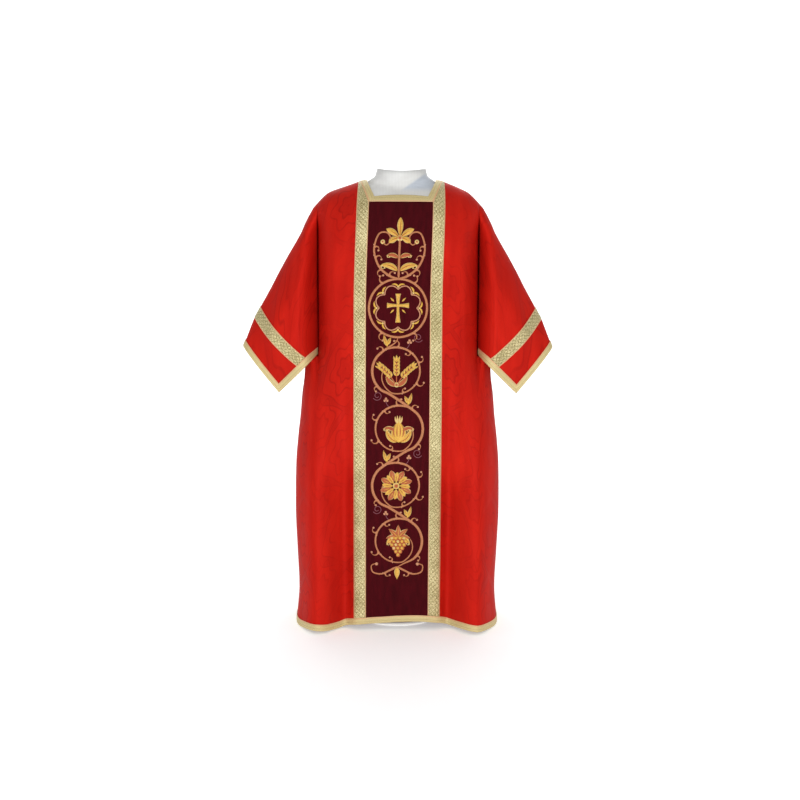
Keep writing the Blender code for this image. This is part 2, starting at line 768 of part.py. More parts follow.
def form_depth(side, ring, x):
    """Half depth of the form at x: its own torso, kept under the cloth, and its neck."""
    across = max(0.0, 1.0 - (abs(x) / ring.half_width) ** FORM_POWER)
    depth = ring.half_depth * across ** (1.0 / FORM_POWER)
    room = FORM_SEAT + (BRAID_ROOM if abs(x) < BRAID_ROOM_X else 0.0)
    cloth = FORM_EASE * cloth_depth(side, x, ring.height + room)
    depth = min(depth, cloth)
    if ring.neck_width > abs(x):
        neck = ring.neck_depth * math.sqrt(1.0 - (x / ring.neck_width) ** 2)
        depth = max(depth, neck)
    return depth


def all_form_rings():
    """Every ring of the form from the neck down, with the shoulder rings' heights worked out."""
    shoulders = [
        FormRing(ridge_height(ring.half_width) - FORM_SEAT, *ring)
        for ring in FORM_SHOULDERS
    ]
    return [*FORM_NECK, *shoulders, *FORM_TORSO]


def form_rings():
    """Points of the form's rings, from the neck's rim down."""
    turn = 2.0 * math.pi / FORM_STEPS
    rings = [[]]
    for step in range(FORM_STEPS):
        across = math.cos(turn * step)
        along = math.sin(turn * step)
        height = NECK_TOP - NECK_DIP * along ** 2
        rings[0].append(Vector((NECK_TOP_WIDTH * across, NECK_TOP_DEPTH * along, height)))
    for ring in all_form_rings():
        points = []
        for step in range(FORM_STEPS):
            x = ring.half_width * math.cos(turn * step)
            along = math.sin(turn * step)
            side = FRONT if along < 0.0 else BACK
            depth = form_depth(side, ring, x) if abs(along) > RING_TIP else 0.0
            points.append(Vector((x, side * depth, ring.height)))
        rings.append(points)
    return rings


def make_form(collection, material):
    """The limbless torso, from the neck's recessed cap to its closed underside."""
    rings = form_rings()
    cap = [
        Vector((NECK_CAP_SHARE * point.x, NECK_CAP_SHARE * point.y, NECK_TOP - NECK_CAP_DROP))
        for point in rings[0]
    ]
    rings.insert(0, cap)
    points = [point for ring in rings for point in ring]
    faces = []
    for level in range(len(rings) - 1):
        for step in range(FORM_STEPS):
            after = (step + 1) % FORM_STEPS
            above = level * FORM_STEPS
            below = above + FORM_STEPS
            faces.append((above + step, below + step, below + after, above + after))
    faces.append(tuple(range(FORM_STEPS)))
    bottom = (len(rings) - 1) * FORM_STEPS
    faces.append(tuple(bottom + step for step in reversed(range(FORM_STEPS))))
    mesh_object("form_torso", points, faces, collection, material)


def turned_object(name, profile, collection, material):
    """A turned solid on the stand's axis: a profile from its top, down its outer side."""
    mesh = bpy.data.meshes.new(name)
    edges = [(index, index + 1) for index in range(len(profile) - 1)]
    mesh.from_pydata([(radius, 0.0, height) for radius, height in profile], edges, [])
    mesh.materials.append(material)
    item = bpy.data.objects.new(name, mesh)
    item.location.y = STAND_Y
    collection.objects.link(item)
    screw = item.modifiers.new("Turn", "SCREW")
    screw.steps = ROUND_STEPS
    screw.render_steps = ROUND_STEPS
    screw.use_merge_vertices = True
    screw.merge_threshold = 0.00005
    screw.use_smooth_shade = True
    return item


def make_stand(collection, painted, steel):
    """Base plate, collar and pole."""
    base = (
        (0.0, BASE_HEIGHT),
        (BASE_RADIUS - BASE_BEVEL, BASE_HEIGHT),
        (BASE_RADIUS, BASE_HEIGHT - BASE_BEVEL),
        (BASE_RADIUS, BASE_BEVEL),
        (BASE_RADIUS - BASE_BEVEL, 0.0),
        (0.0, 0.0),
    )
    turned_object("stand_base", base, collection, painted)
    low = BASE_HEIGHT + LIFT
    high = low + COLLAR_HEIGHT
    bore = POLE_RADIUS + LIFT
    collar = (
        (bore, low),
        (bore, high),
        (COLLAR_TOP_RADIUS - COLLAR_BEVEL, high),
        (COLLAR_TOP_RADIUS, high - COLLAR_BEVEL),
        (COLLAR_TAPER, low + COLLAR_SHOULDER),
        (COLLAR_RADIUS, low + COLLAR_FOOT),
        (COLLAR_RADIUS, low),
        (bore, low),
    )
    turned_object("stand_collar", collar, collection, painted)
    pole = (
        (0.0, POLE_TOP),
        (POLE_RADIUS, POLE_TOP),
        (POLE_RADIUS, POLE_FOOT),
        (0.0, POLE_FOOT),
    )
    turned_object("stand_pole", pole, collection, steel)


def main():
    """Build the whole part."""
    for item in list(bpy.data.objects):
        bpy.data.objects.remove(item, do_unlink=True)
    collection = bpy.data.collections.new("Dalmatic_on_form")
    bpy.context.scene.collection.children.link(collection)

    red_damask = new_material("Red_silk_damask", (0.55, 0.018, 0.010), 0.42, 0.0)
    velvet = new_material("Claret_velvet", (0.045, 0.003, 0.006), 0.85, 0.0)
    braid = new_material("Gold_braid", (0.58, 0.48, 0.24), 0.48, 0.15)
    jersey = new_material("White_jersey", (0.72, 0.72, 0.71), 0.80, 0.0)
    painted = new_material("White_painted_steel", (0.62, 0.62, 0.61), 0.50, 0.0)
    steel = new_material("Brushed_steel", (0.55, 0.55, 0.56), 0.35, 1.0)

    panels = {side: make_panel(side, collection, red_damask) for side in (FRONT, BACK)}
    for side in (FRONT, BACK):
        make_orphrey(side, panels[side], collection, velvet, braid)
    make_neck_binding(panels, collection, braid)
    make_hem_binding(panels, collection, braid)
    for hand, word in ((LEFT, "left"), (RIGHT, "right")):
        make_sleeve(hand, word, collection, red_damask, braid)
        make_underarm_binding(hand, word, panels, collection, red_damask)
    make_form(collection, jersey)
    make_stand(collection, painted, steel)


main()
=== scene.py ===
"""A dalmatic on a dress form: its cloth, braid, embroidery, form and stand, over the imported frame.

Laid out as an add-on and run as a script. Metres, +Z up; the front faces -Y and the wearer's left
is +X.
"""

import math
from collections import namedtuple
from functools import partial

import bpy
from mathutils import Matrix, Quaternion, Vector, noise


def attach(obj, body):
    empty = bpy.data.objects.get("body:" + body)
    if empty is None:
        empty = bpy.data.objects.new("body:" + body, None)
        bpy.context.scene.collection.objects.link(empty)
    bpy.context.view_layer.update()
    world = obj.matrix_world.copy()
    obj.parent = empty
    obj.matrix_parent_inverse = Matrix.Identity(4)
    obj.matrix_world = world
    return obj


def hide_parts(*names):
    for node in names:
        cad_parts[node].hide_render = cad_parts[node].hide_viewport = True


bl_info = {
    "name": "Dalmatic on a dress form",
    "version": (1, 0, 0),
    "blender": (4, 5, 0),
    "location": "View3D > Sidebar > Dalmatic",
    "description": "Dresses the packed solids with cloth, braid and embroidery",
    "category": "Object",
}

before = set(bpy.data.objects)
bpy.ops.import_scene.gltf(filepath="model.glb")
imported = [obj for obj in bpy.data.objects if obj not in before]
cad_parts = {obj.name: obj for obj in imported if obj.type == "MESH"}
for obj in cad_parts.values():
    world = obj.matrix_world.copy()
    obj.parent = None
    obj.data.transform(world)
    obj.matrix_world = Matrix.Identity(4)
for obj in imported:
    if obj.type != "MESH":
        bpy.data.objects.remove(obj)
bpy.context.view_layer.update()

# ---------------------------------------------------------------- sizes shared with the solids

FRONT = -1
BACK = 1
LEFT = 1
RIGHT = -1
SIDES = ((FRONT, "front"), (BACK, "back"))
HANDS = ((LEFT, "left"), (RIGHT, "right"))

SEAM_SET = 0.00015        # how far a panel's edge stays from its shoulder and side seams
ARMHOLE_GAP = 0.0001      # air between panel and sleeve along the armhole seam
ARMPIT_START = 0.0040     # the sleeve braids start this far from the armhole seam's lower end
UNDERARM_START = 0.0100   # the underarm facings start this far from the armhole seam
SHOULDER_HEIGHT = 1.2285
NECK_BAND_HEIGHT = 1.1677
NECK_RISE = 0.0040        # how much the front neck edge arches up in the middle
UNDERARM_HEIGHT = 0.751   # upper edge of the body's sides
UNDERARM_DIP = 0.006
ARMPIT_HEIGHT = 0.757     # lower end of the sleeve's seam
SEAM_X = 0.2200           # half the distance between the armhole seams
SHOULDER_DROP = 0.170     # height over which the shoulders round down into the front
BINDING_WIDTH = 0.0165

CUFF_TOP = Vector((0.4286, 0.0, 0.7745))
CUFF_CORNER = Vector((0.3270, 0.0, 0.6495))
CUFF_DEPTH = 0.050
CUFF_ROUND = 0.70         # share of the way down a sleeve over which its top rounds
SLEEVE_BULGE = 0.017      # how far the sleeve stands forward of the armhole seam
SLEEVE_BULGE_RUN = 0.050
SLEEVE_BULGE_TOP = 0.35
SLEEVE_BULGE_END = 0.45
CUFF_BINDING = 0.0145
HALVINGS = 40             # steps of the search for a place along the sleeve

FORM_SEAT = 0.0028        # the form's shoulder line lies this far below the cloth's ridge
FORM_EASE = 0.92          # the form's depth as a share of the cloth's
BRAID_ROOM = 0.0022       # extra room under the neck braid, up to this x
BRAID_ROOM_X = 0.1130
FORM_POWER = 2.3
NECK_TOP = 1.2585
NECK_TOP_WIDTH = 0.0665
NECK_TOP_DEPTH = 0.0560
NECK_DIP = 0.0070         # how far the neck's rim dips in front and behind
NECK_CAP_DROP = 0.0080
NECK_CAP_SHARE = 0.88

# Tables by columns, which curve_value reads. The body's rings from the hem up:
BODY = {
    "height": (0.008, 0.032, 0.1025, 0.208, 0.3125, 0.4507, 0.519, 0.587, 0.644, 0.689, 0.751,
               0.95, 1.1, 1.2285),
    "half_width": (0.2825, 0.2806, 0.2755, 0.2802, 0.2848, 0.2833, 0.278, 0.2705, 0.2656, 0.2597,
                   0.257, 0.257, 0.257, 0.257),
    "front": (0.165, 0.165, 0.165, 0.166, 0.166, 0.166, 0.165, 0.163, 0.161, 0.159, 0.157, 0.148,
              0.137, 0.13),
    "back": (0.158, 0.158, 0.157, 0.155, 0.153, 0.15, 0.148, 0.146, 0.144, 0.142, 0.14, 0.134,
             0.126, 0.12),
    "power": (3.6, 3.5, 3.4, 3.2, 3.0, 2.8, 2.6, 2.5, 2.4, 2.3, 2.3, 2.3, 2.3, 2.3),
}
# The shoulder line:
RIDGE = {
    "x": (0.0, 0.096, 0.1176, 0.1326, 0.1614, 0.1901, 0.2024, 0.212, 0.22),
    "height": (1.2285, 1.2275, 1.2232, 1.2178, 1.207, 1.195, 1.1854, 1.176, 1.167),
}
# The hem's height, and how much lower the front's hangs from the wearer's right to the left:
HEM = {
    "x": (0.0, 0.118, 0.165, 0.215, 0.25, 0.282),
    "height": (0.028, 0.025, 0.018, 0.011, 0.009, 0.008),
}
HEM_DROPS = {
    "x": (-0.2825, -0.253, -0.237, -0.22, -0.188, -0.16, -0.14, -0.105, -0.05, 0.0, 0.07, 0.115,
          0.14, 0.16, 0.185, 0.22, 0.25, 0.2825),
    "drop": (0.004, 0.006, 0.002, 0.0, 0.0075, 0.014, 0.013, 0.008, 0.008, 0.0055, 0.003, 0.0045,
             0.01, 0.008, 0.0025, 0.001, 0.005, 0.004),
}
# The sleeve's upper outline: x and height.
SLEEVE_TOP = (
    (0.22, 1.167), (0.2327, 1.1529), (0.2452, 1.1312), (0.2564, 1.1094), (0.2655, 1.0876),
    (0.2775, 1.0658), (0.3035, 1.022), (0.328, 0.9781), (0.351, 0.9341), (0.3757, 0.8899),
    (0.4003, 0.8455), (0.418, 0.801), (0.4286, 0.7745),
)

# Broad folds of the skirt, on both sides alike: where, reach, depth (negative is a ridge), the
# height where they start, and how square they are.
Fold = namedtuple("Fold", "side x width depth top sharpness")
FOLDS = [Fold(*row) for row in (
    (-1, 0.0, 0.135, 0.035, 0.78, 4),
    (-1, 0.215, 0.048, -0.027, 0.66, 2),
    (1, 0.0, 0.135, 0.012, 0.7, 4),
    (1, 0.16, 0.03, 0.012, 0.48, 2),
    (1, 0.212, 0.04, -0.018, 0.6, 2),
)]

# Rings of the form, with an oval neck that stands out of the torso where it is given.
FormRing = namedtuple(
    "FormRing", "height half_width half_depth neck_width neck_depth", defaults=(0.0, 0.0)
)
FORM_NECK = [FormRing(*row) for row in (
    (1.24, 0.071, 0.0575, 0.071, 0.0575),
    (1.235, 0.076, 0.058, 0.076, 0.058),
    (1.2305, 0.083, 0.0585, 0.083, 0.0585),
    (1.2262, 0.0895, 0.059, 0.0895, 0.059),
    (1.2236, 0.0925, 0.059, 0.091, 0.059),
    (1.2218, 0.0985, 0.059, 0.0915, 0.059),
    (1.219, 0.1135, 0.06, 0.0915, 0.059),
)]
# On the shoulders a ring's height comes from the shoulder line.
FORM_SHOULDERS = (
    (0.138, 0.064, 0.094, 0.059),
    (0.159, 0.068, 0.094, 0.059),
    (0.18, 0.074, 0.094, 0.059),
)
FORM_TORSO = [FormRing(*row) for row in (
    (1.185, 0.192, 0.08),
    (1.16, 0.199, 0.09),
    (1.11, 0.199, 0.102),
    (1.04, 0.189, 0.11),
    (0.96, 0.174, 0.11),
    (0.88, 0.162, 0.105),
    (0.81, 0.158, 0.104),
    (0.73, 0.167, 0.111),
    (0.65, 0.174, 0.117),
    (0.612, 0.171, 0.114),
    (0.5985, 0.161, 0.105),
    (0.5955, 0.145, 0.09),
)]

# ---------------------------------------------------------------- sizes of this dressing

CLOTH_STEP = 0.0050       # spacing of a panel's points
SHELL = 0.0012            # thickness of the damask with its interlining
TRIM_SHELL = 0.0008       # thickness of velvet and galloon
TRIM_FACE = 0.0014        # height of a trim's face above the cloth
EDGE_TRIM = 0.0002        # how far each trim stops short of its neighbour
LEAN = 0.0080             # how far the middle of the neck hangs towards the wearer's left
LEAN_HEIGHTS = (0.88, 1.24)
LEAN_HALF_WIDTHS = (0.125, 0.210)
BAND_BOW = 0.0060         # how far the sleeve band bows towards the cuff between its ends
HANG = 0.0016             # how far the cloth hangs unevenly, with this many waves a metre
HANG_ACROSS = 7.0
HANG_DOWN = 2.2
HANG_SIDES = 3.0          # sets the back's unevenness apart from the front's
SHOULDER_EASE = 0.080     # height below the shoulder line over which creases fade in
SLEEVE_EASE = 0.20        # share of the way down a sleeve over which they do
SLEEVE_CROWDING = 1.35    # how much closer a sleeve's points lie at its top
OUTWARD_TILT = 0.3        # a panel's outward side also looks up, at the shoulders
FORM_STEPS = 96           # points round one ring of the form

# Columns of a panel from the middle outwards: x below the neck binding, and on the shoulder line.
Column = namedtuple("Column", "name x ridge_x")
COLUMNS = (
    Column("centre", 0.000, 0.000),
    Column("neck_edge", 0.0662, 0.0966),
    Column("velvet_edge", 0.085, 0.1115),
    Column("galloon_edge", 0.118, 0.1165),
    Column("armhole", SEAM_X, SEAM_X),
)
SIDE_STEPS = 14           # columns from the armhole seam's line round to the side seam

# Rows of a panel: zone, and share of the way down that zone.
Row = namedtuple("Row", "name zone share")
ROWS = (
    Row("ridge", 0, 0.000),
    Row("crest", 0, 0.010),
    Row("back_neck", 0, 0.060),
    Row("front_neck", 0, 0.1003),
    Row("front_binding", 0, 0.1273),
    Row("underarm", 0, 1.000),
    Row("under_binding", 1, 1.000),
    Row("hem_binding", 2, 1.000),
    Row("hem", 3, 1.000),
)
ZONE_LENGTHS = (0.50, BINDING_WIDTH, 0.70, BINDING_WIDTH)

# Creases seen from the front: both ends, reach to each side, depth (negative is a ridge).
Crease = namedtuple("Crease", "side x1 z1 x2 z2 reach depth")
CREASES = [Crease(*row) for row in (
    (1, -0.22, 1.16, -0.221, 0.745, 0.012, 0.011),
    (1, 0.22, 1.16, 0.221, 0.745, 0.012, 0.0115),
    (-1, -0.229, 1.16, -0.221, 0.69, 0.029, 0.025),
    (-1, 0.219, 1.15, 0.209, 0.69, 0.029, 0.025),
    (-1, -0.14, 0.78, -0.14, -0.13, 0.015, 0.009),
    (-1, -0.15, 0.52, -0.154, -0.13, 0.033, 0.034),
    (-1, 0.137, 0.78, 0.137, -0.13, 0.015, 0.01),
    (-1, 0.146, 0.52, 0.149, -0.13, 0.031, 0.033),
    (-1, -0.1, 0.48, -0.098, -0.24, 0.026, -0.005),
    (-1, -0.19, 0.72, -0.178, 0.3, 0.023, 0.005),
    (-1, 0.182, 0.735, 0.176, 0.36, 0.02, 0.005),
    (-1, -0.234, 0.68, -0.24, -0.16, 0.026, -0.013),
    (-1, 0.232, 0.68, 0.234, -0.16, 0.027, -0.013),
    (-1, -0.15, 1.08, -0.162, 0.76, 0.023, 0.0026),
    (-1, 0.148, 1.04, 0.156, 0.7, 0.02, 0.0024),
    (-1, -0.05, 0.9, -0.038, 0.48, 0.026, 0.0016),
    (-1, 0.046, 0.64, 0.04, 0.18, 0.03, 0.0018),
    (-1, -0.272, 1.04, -0.298, 0.8, 0.018, 0.003),
    (-1, 0.276, 1.03, 0.29, 0.79, 0.017, 0.0034),
    (-1, -0.32, 0.93, -0.345, 0.76, 0.016, -0.0022),
    (-1, 0.326, 0.92, 0.338, 0.75, 0.016, -0.0024),
    (-1, 0.243, 0.86, 0.3, 0.74, 0.014, 0.003),
    (-1, -0.246, 0.87, -0.293, 0.745, 0.013, 0.0026),
    (1, -0.13, 0.56, -0.144, 0.02, 0.024, 0.006),
    (1, 0.136, 0.5, 0.148, 0.02, 0.022, 0.0054),
    (1, -0.185, 0.76, -0.19, 0.33, 0.024, 0.004),
    (1, 0.178, 0.72, 0.186, 0.26, 0.023, 0.0046),
    (1, -0.042, 0.84, -0.05, 0.12, 0.028, 0.0034),
    (1, 0.038, 0.7, 0.046, 0.06, 0.026, 0.004),
    (1, -0.15, 1.09, -0.17, 0.8, 0.024, 0.004),
    (1, 0.156, 1.07, 0.166, 0.78, 0.022, 0.0042),
    (1, -0.276, 1.03, -0.296, 0.8, 0.019, 0.0036),
    (1, 0.273, 1.04, 0.302, 0.79, 0.018, 0.0034),
    (1, 0.326, 0.93, 0.35, 0.76, 0.016, -0.0022),
    (1, -0.323, 0.92, -0.342, 0.75, 0.015, -0.0024),
)]
# Valleys along the armhole seams, with a sharp bottom at the seam.
VALLEYS = [Crease(*row) for row in (
    (-1, -0.22, 1.19, -0.22, 0.64, 0.015, 0.037),
    (-1, 0.22, 1.19, 0.22, 0.64, 0.013, 0.036),
)]
# Soft folds in the jersey at the neck.
JERSEY_FOLDS = [Crease(*row) for row in (
    (-1, 0.008, 1.206, 0.074, 1.246, 0.0044, 0.006),
    (-1, 0.024, 1.2, 0.084, 1.226, 0.004, 0.0036),
    (-1, -0.03, 1.195, -0.07, 1.23, 0.005, 0.0016),
    (1, 0.02, 1.2, 0.066, 1.236, 0.0048, 0.002),
    (1, -0.026, 1.198, -0.064, 1.232, 0.0052, 0.002),
)]
CREASE_ENDS = 0.24        # share of a crease's length over which each end fades
JERSEY_ENDS = 0.25
CREASE_CUT = 3.0          # a crease ends at this many times its reach
ROUND = 2                 # powers of a crease's section
SHARP = 1


# ---------------------------------------------------------------- small helpers

def curve_value(places, values, at):
    """A smooth curve through the given values, flat beyond its two ends."""
    if at <= places[0]:
        return values[0]
    if at >= places[-1]:
        return values[-1]
    index = 0
    while places[index + 1] < at:
        index += 1
    before = max(index - 1, 0)
    after = min(index + 2, len(places) - 1)
    step = places[index + 1] - places[index]
    slope_in = (values[index + 1] - values[before]) / (places[index + 1] - places[before])
    slope_out = (values[after] - values[index]) / (places[after] - places[index])
    t = (at - places[index]) / step
    held = (2.0 * t ** 3 - 3.0 * t ** 2 + 1.0) * values[index]
    held += (3.0 * t ** 2 - 2.0 * t ** 3) * values[index + 1]
    lean_in = (t ** 3 - 2.0 * t ** 2 + t) * slope_in + (t ** 3 - t ** 2) * slope_out
    return held + step * lean_in


def smooth_step(share):
    """Ease from 0 to 1."""
    share = min(max(share, 0.0), 1.0)
    return share * share * (3.0 - 2.0 * share)


def mix(first, second, share):
    """The value or point that lies a share of the way from first to second."""
    return first + (second - first) * share


def quarter_round(share):
    """Height of a quarter circle that starts upright at 0 and is level from 1 on."""
    share = min(max(share, 0.0), 1.0)
    return math.sqrt(1.0 - (1.0 - share) ** 2)


def path_length(points):
    """Length of the line through the given points, in order."""
    return sum((second - first).length for first, second in zip(points, points[1:]))


def settings():
    """The sizes and colours that a user may change."""
    return bpy.context.scene.dalmatic_cloth


# ---------------------------------------------------------------- the body's form

def ridge_height(x):
    """Height of the shoulder line at a distance from the middle."""
    return curve_value(RIDGE["x"], RIDGE["height"], abs(x))


def body_ring(side, height):
    """Half width, depth in front or behind, and squareness of the body at a height."""
    columns = ("half_width", "front" if side == FRONT else "back", "power")
    return [curve_value(BODY["height"], BODY[column], height) for column in columns]


def fold_depth(side, x, height):
    """How far the skirt's soft folds push the cloth back at a place."""
    depth = 0.0
    for fold in FOLDS:
        if fold.side == side:
            fade = smooth_step((fold.top - height) / fold.top)
            away = abs(abs(x) - fold.x) / fold.width
            depth += fold.depth * fade * math.exp(-away ** fold.sharpness)
    return depth


def pushed_back(creases, side, x, height, ends, power):
    """How far a table of creases pushes the cloth back at a place seen from the front."""
    depth = 0.0
    for crease in creases:
        if crease.side != side:
            continue
        run_x = crease.x2 - crease.x1
        run_z = crease.z2 - crease.z1
        length = math.hypot(run_x, run_z)
        along = ((x - crease.x1) * run_x + (height - crease.z1) * run_z) / length ** 2
        away = ((x - crease.x1) * run_z - (height - crease.z1) * run_x) / length
        if 0.0 < along < 1.0 and abs(away) <= CREASE_CUT * crease.reach:
            fade = smooth_step(along / ends) * smooth_step((1.0 - along) / ends)
            depth += crease.depth * fade * math.exp(-abs(away / crease.reach) ** power)
    return depth


def unevenness(side, x, height):
    """How far the creases and the cloth's own hang push it back, the same on every run."""
    depth = pushed_back(CREASES, side, x, height, CREASE_ENDS, ROUND)
    depth += pushed_back(VALLEYS, side, x, height, CREASE_ENDS, SHARP)
    place = Vector((x * HANG_ACROSS, height * HANG_DOWN, side * HANG_SIDES))
    return depth * settings().crease_depth + HANG * noise.noise(place)


def lean(x, height):
    """How far a place near the neck hangs towards the wearer's left."""
    low, high = LEAN_HEIGHTS
    near, far = LEAN_HALF_WIDTHS
    rise = smooth_step((height - low) / (high - low))
    return LEAN * rise * (1.0 - smooth_step((abs(x) - near) / (far - near)))


def cloth_depth(side, x, height):
    """Distance of the cloth's outer face from the middle plane, without its folds."""
    width, depth, power = body_ring(side, height)
    across = max(0.0, 1.0 - (abs(x) / width) ** power) ** (1.0 / power)
    return depth * across * quarter_round((ridge_height(x) - height) / SHOULDER_DROP)


def body_point(side, x, height):
    """A point of the panel between the armhole seams."""
    depth = cloth_depth(side, x, height) - fold_depth(side, x, height)
    below = smooth_step((ridge_height(x) - height) / SHOULDER_EASE)
    depth -= below * unevenness(side, x, height)
    return Vector((x + lean(x, height), side * (depth + SEAM_SET), height))


def side_point(side, hand, share, height):
    """A point of the panel between the armhole seam's line and the side seam."""
    width, depth, power = body_ring(side, height)
    start = math.acos((SEAM_X / width) ** (power / 2.0))
    angle = start * (1.0 - share)
    x = width * math.cos(angle) ** (2.0 / power)
    out = depth * math.sin(angle) ** (2.0 / power)
    out -= fold_depth(side, x, height) * (1.0 - share)
    out -= unevenness(side, hand * x, height) * (1.0 - share)
    return Vector((hand * x, side * (out + SEAM_SET), height))


def column_x(column, height):
    """x of a panel's column, which slides out along the neck's slanting edge."""
    rise = (height - NECK_BAND_HEIGHT) / (SHOULDER_HEIGHT - NECK_BAND_HEIGHT)
    return mix(column.x, column.ridge_x, min(max(rise, 0.0), 1.0))


def fine_columns():
    """The panel's columns about one step apart, and the number of each named one."""
    columns = [COLUMNS[0]]
    numbers = {COLUMNS[0].name: 0}
    for first, second in zip(COLUMNS, COLUMNS[1:]):
        count = max(1, round((second.x - first.x) / CLOTH_STEP))
        for step in range(1, count + 1):
            share = step / count
            x = mix(first.x, second.x, share)
            columns.append(Column(second.name, x, mix(first.ridge_x, second.ridge_x, share)))
        numbers[second.name] = len(columns) - 1
    return columns, numbers


def fine_rows():
    """The panel's rows about one step apart, and the number of each named one."""
    rows = [ROWS[0]]
    numbers = {ROWS[0].name: 0}
    for first, second in zip(ROWS, ROWS[1:]):
        start = first.share if first.zone == second.zone else 0.0
        run = (second.share - start) * ZONE_LENGTHS[second.zone]
        count = max(1, round(run / CLOTH_STEP))
        for step in range(1, count + 1):
            rows.append(Row(second.name, second.zone, mix(start, second.share, step / count)))
        numbers[second.name] = len(rows) - 1
    return rows, numbers


FINE_COLUMNS, COLUMN_NUMBERS = fine_columns()
FINE_ROWS, ROW_NUMBERS = fine_rows()
LAST = len(FINE_COLUMNS) - 1
NECK_SHARE, NECK_BINDING_SHARE = (
    next(row.share for row in ROWS if row.name == name) for name in ("front_neck", "front_binding")
)
NECK_EDGE = next(column for column in COLUMNS if column.name == "neck_edge")


def upper_point(side, hand, column, row):
    """A point of a panel above the underarm."""
    middle = mix(SHOULDER_HEIGHT, UNDERARM_HEIGHT, row.share)
    x = column_x(column, middle)
    height = mix(ridge_height(x), UNDERARM_HEIGHT, row.share)
    if side == FRONT and NECK_SHARE <= row.share < NECK_BINDING_SHARE:
        neck_x = column_x(NECK_EDGE, middle)
        fade = (NECK_BINDING_SHARE - row.share) / (NECK_BINDING_SHARE - NECK_SHARE)
        height += NECK_RISE * fade * max(0.0, 1.0 - (x / neck_x) ** 2)
    return body_point(side, hand * x, height)


def lower_point(side, hand, x, around, row):
    """A point of a panel below the underarm; around is its share of the way to the side seam."""
    edge = UNDERARM_HEIGHT - UNDERARM_DIP * around
    out = mix(x, HEM["x"][-1], around)
    low = curve_value(HEM["x"], HEM["height"], out)
    if side == FRONT:
        low -= curve_value(HEM_DROPS["x"], HEM_DROPS["drop"], hand * out)
    else:
        low -= around * curve_value(HEM_DROPS["x"], HEM_DROPS["drop"], hand * HEM["x"][-1])
    stops = (edge, edge - BINDING_WIDTH, low + BINDING_WIDTH, low)
    height = mix(stops[row.zone - 1], stops[row.zone], row.share)
    if around > 0.0:
        return side_point(side, hand, around, height)
    return body_point(side, hand * x, height)


def panel_grid(side):
    """Points of one body panel, keyed by row and signed column."""
    grid = {}
    neck_column = COLUMN_NUMBERS["neck_edge"]
    neck_row = ROW_NUMBERS["front_neck" if side == FRONT else "back_neck"]
    underarm = ROW_NUMBERS["underarm"]
    for index, row in enumerate(FINE_ROWS):
        reach = LAST if index < underarm else LAST + SIDE_STEPS
        for number in range(-reach, reach + 1):
            if index < neck_row and abs(number) < neck_column:
                continue
            hand = LEFT if number >= 0 else RIGHT
            column = FINE_COLUMNS[min(abs(number), LAST)]
            around = max(0, abs(number) - LAST) / SIDE_STEPS
            if index < underarm or (index == underarm and around == 0.0):
                grid[index, number] = upper_point(side, hand, column, row)
            elif index == underarm:
                height = UNDERARM_HEIGHT - UNDERARM_DIP * around
                grid[index, number] = side_point(side, hand, around, height)
            else:
                grid[index, number] = lower_point(side, hand, column.x, around, row)
    return grid


# ---------------------------------------------------------------- the sleeves' form

TOP_POINTS = [Vector((x, 0.0, height)) for x, height in SLEEVE_TOP]
TOP_LENGTH = path_length(TOP_POINTS)
ARMPIT = Vector((SEAM_X, 0.0, ARMPIT_HEIGHT))


def top_line(distance):
    """Point of a sleeve's upper outline at a distance along it from the armhole seam."""
    for first, second in zip(TOP_POINTS, TOP_POINTS[1:]):
        length = (second - first).length
        if distance <= length:
            return mix(first, second, distance / length)
        distance -= length
    return TOP_POINTS[-1].copy()


def cuff_distance(point):
    """How far a point lies from the cuff's line, seen from the front."""
    along = (CUFF_CORNER - CUFF_TOP).normalized()
    return (point - CUFF_TOP).dot(Vector((along.z, 0.0, -along.x)))


def top_at_cuff_distance(wanted):
    """Distance along the upper outline where the cuff's line is the wanted distance away."""
    near = 0.0
    far = TOP_LENGTH
    for _ in range(HALVINGS):
        middle = 0.5 * (near + far)
        if cuff_distance(top_line(middle)) > wanted:
            near = middle
        else:
            far = middle
    return 0.5 * (near + far)


# Lines across a sleeve towards the cuff: distance from the cuff at both ends, bow, and columns up
# to the next line.
SleeveLine = namedtuple("SleeveLine", "name top low bow steps")
SLEEVE_LINES = (
    SleeveLine("band", 0.106, 0.123, BAND_BOW, 7),
    SleeveLine("lower", 0.073, 0.090, BAND_BOW, 14),
    SleeveLine("cuff", CUFF_BINDING, CUFF_BINDING, 0.0, 3),
    SleeveLine("end", 0.0, 0.0, 0.0, 0),
)
FAN_STEPS = 52            # columns from the armhole to the band
SLEEVE_STEPS = 62         # places down each side of the sleeve as far as its binding
BOUND_STEPS = 3
SLEEVE_EDGE = SLEEVE_STEPS + BOUND_STEPS


def sleeve_section(top_distance, low_distance, bow):
    """Both ends of a line across the sleeve, their reach along the sleeve, and its bow."""
    along = top_at_cuff_distance(top_distance)
    low = mix(CUFF_CORNER, ARMPIT, low_distance / cuff_distance(ARMPIT))
    low_reach = (low - ARMPIT).length / (CUFF_CORNER - ARMPIT).length
    return top_line(along), low, along / TOP_LENGTH, low_reach, bow


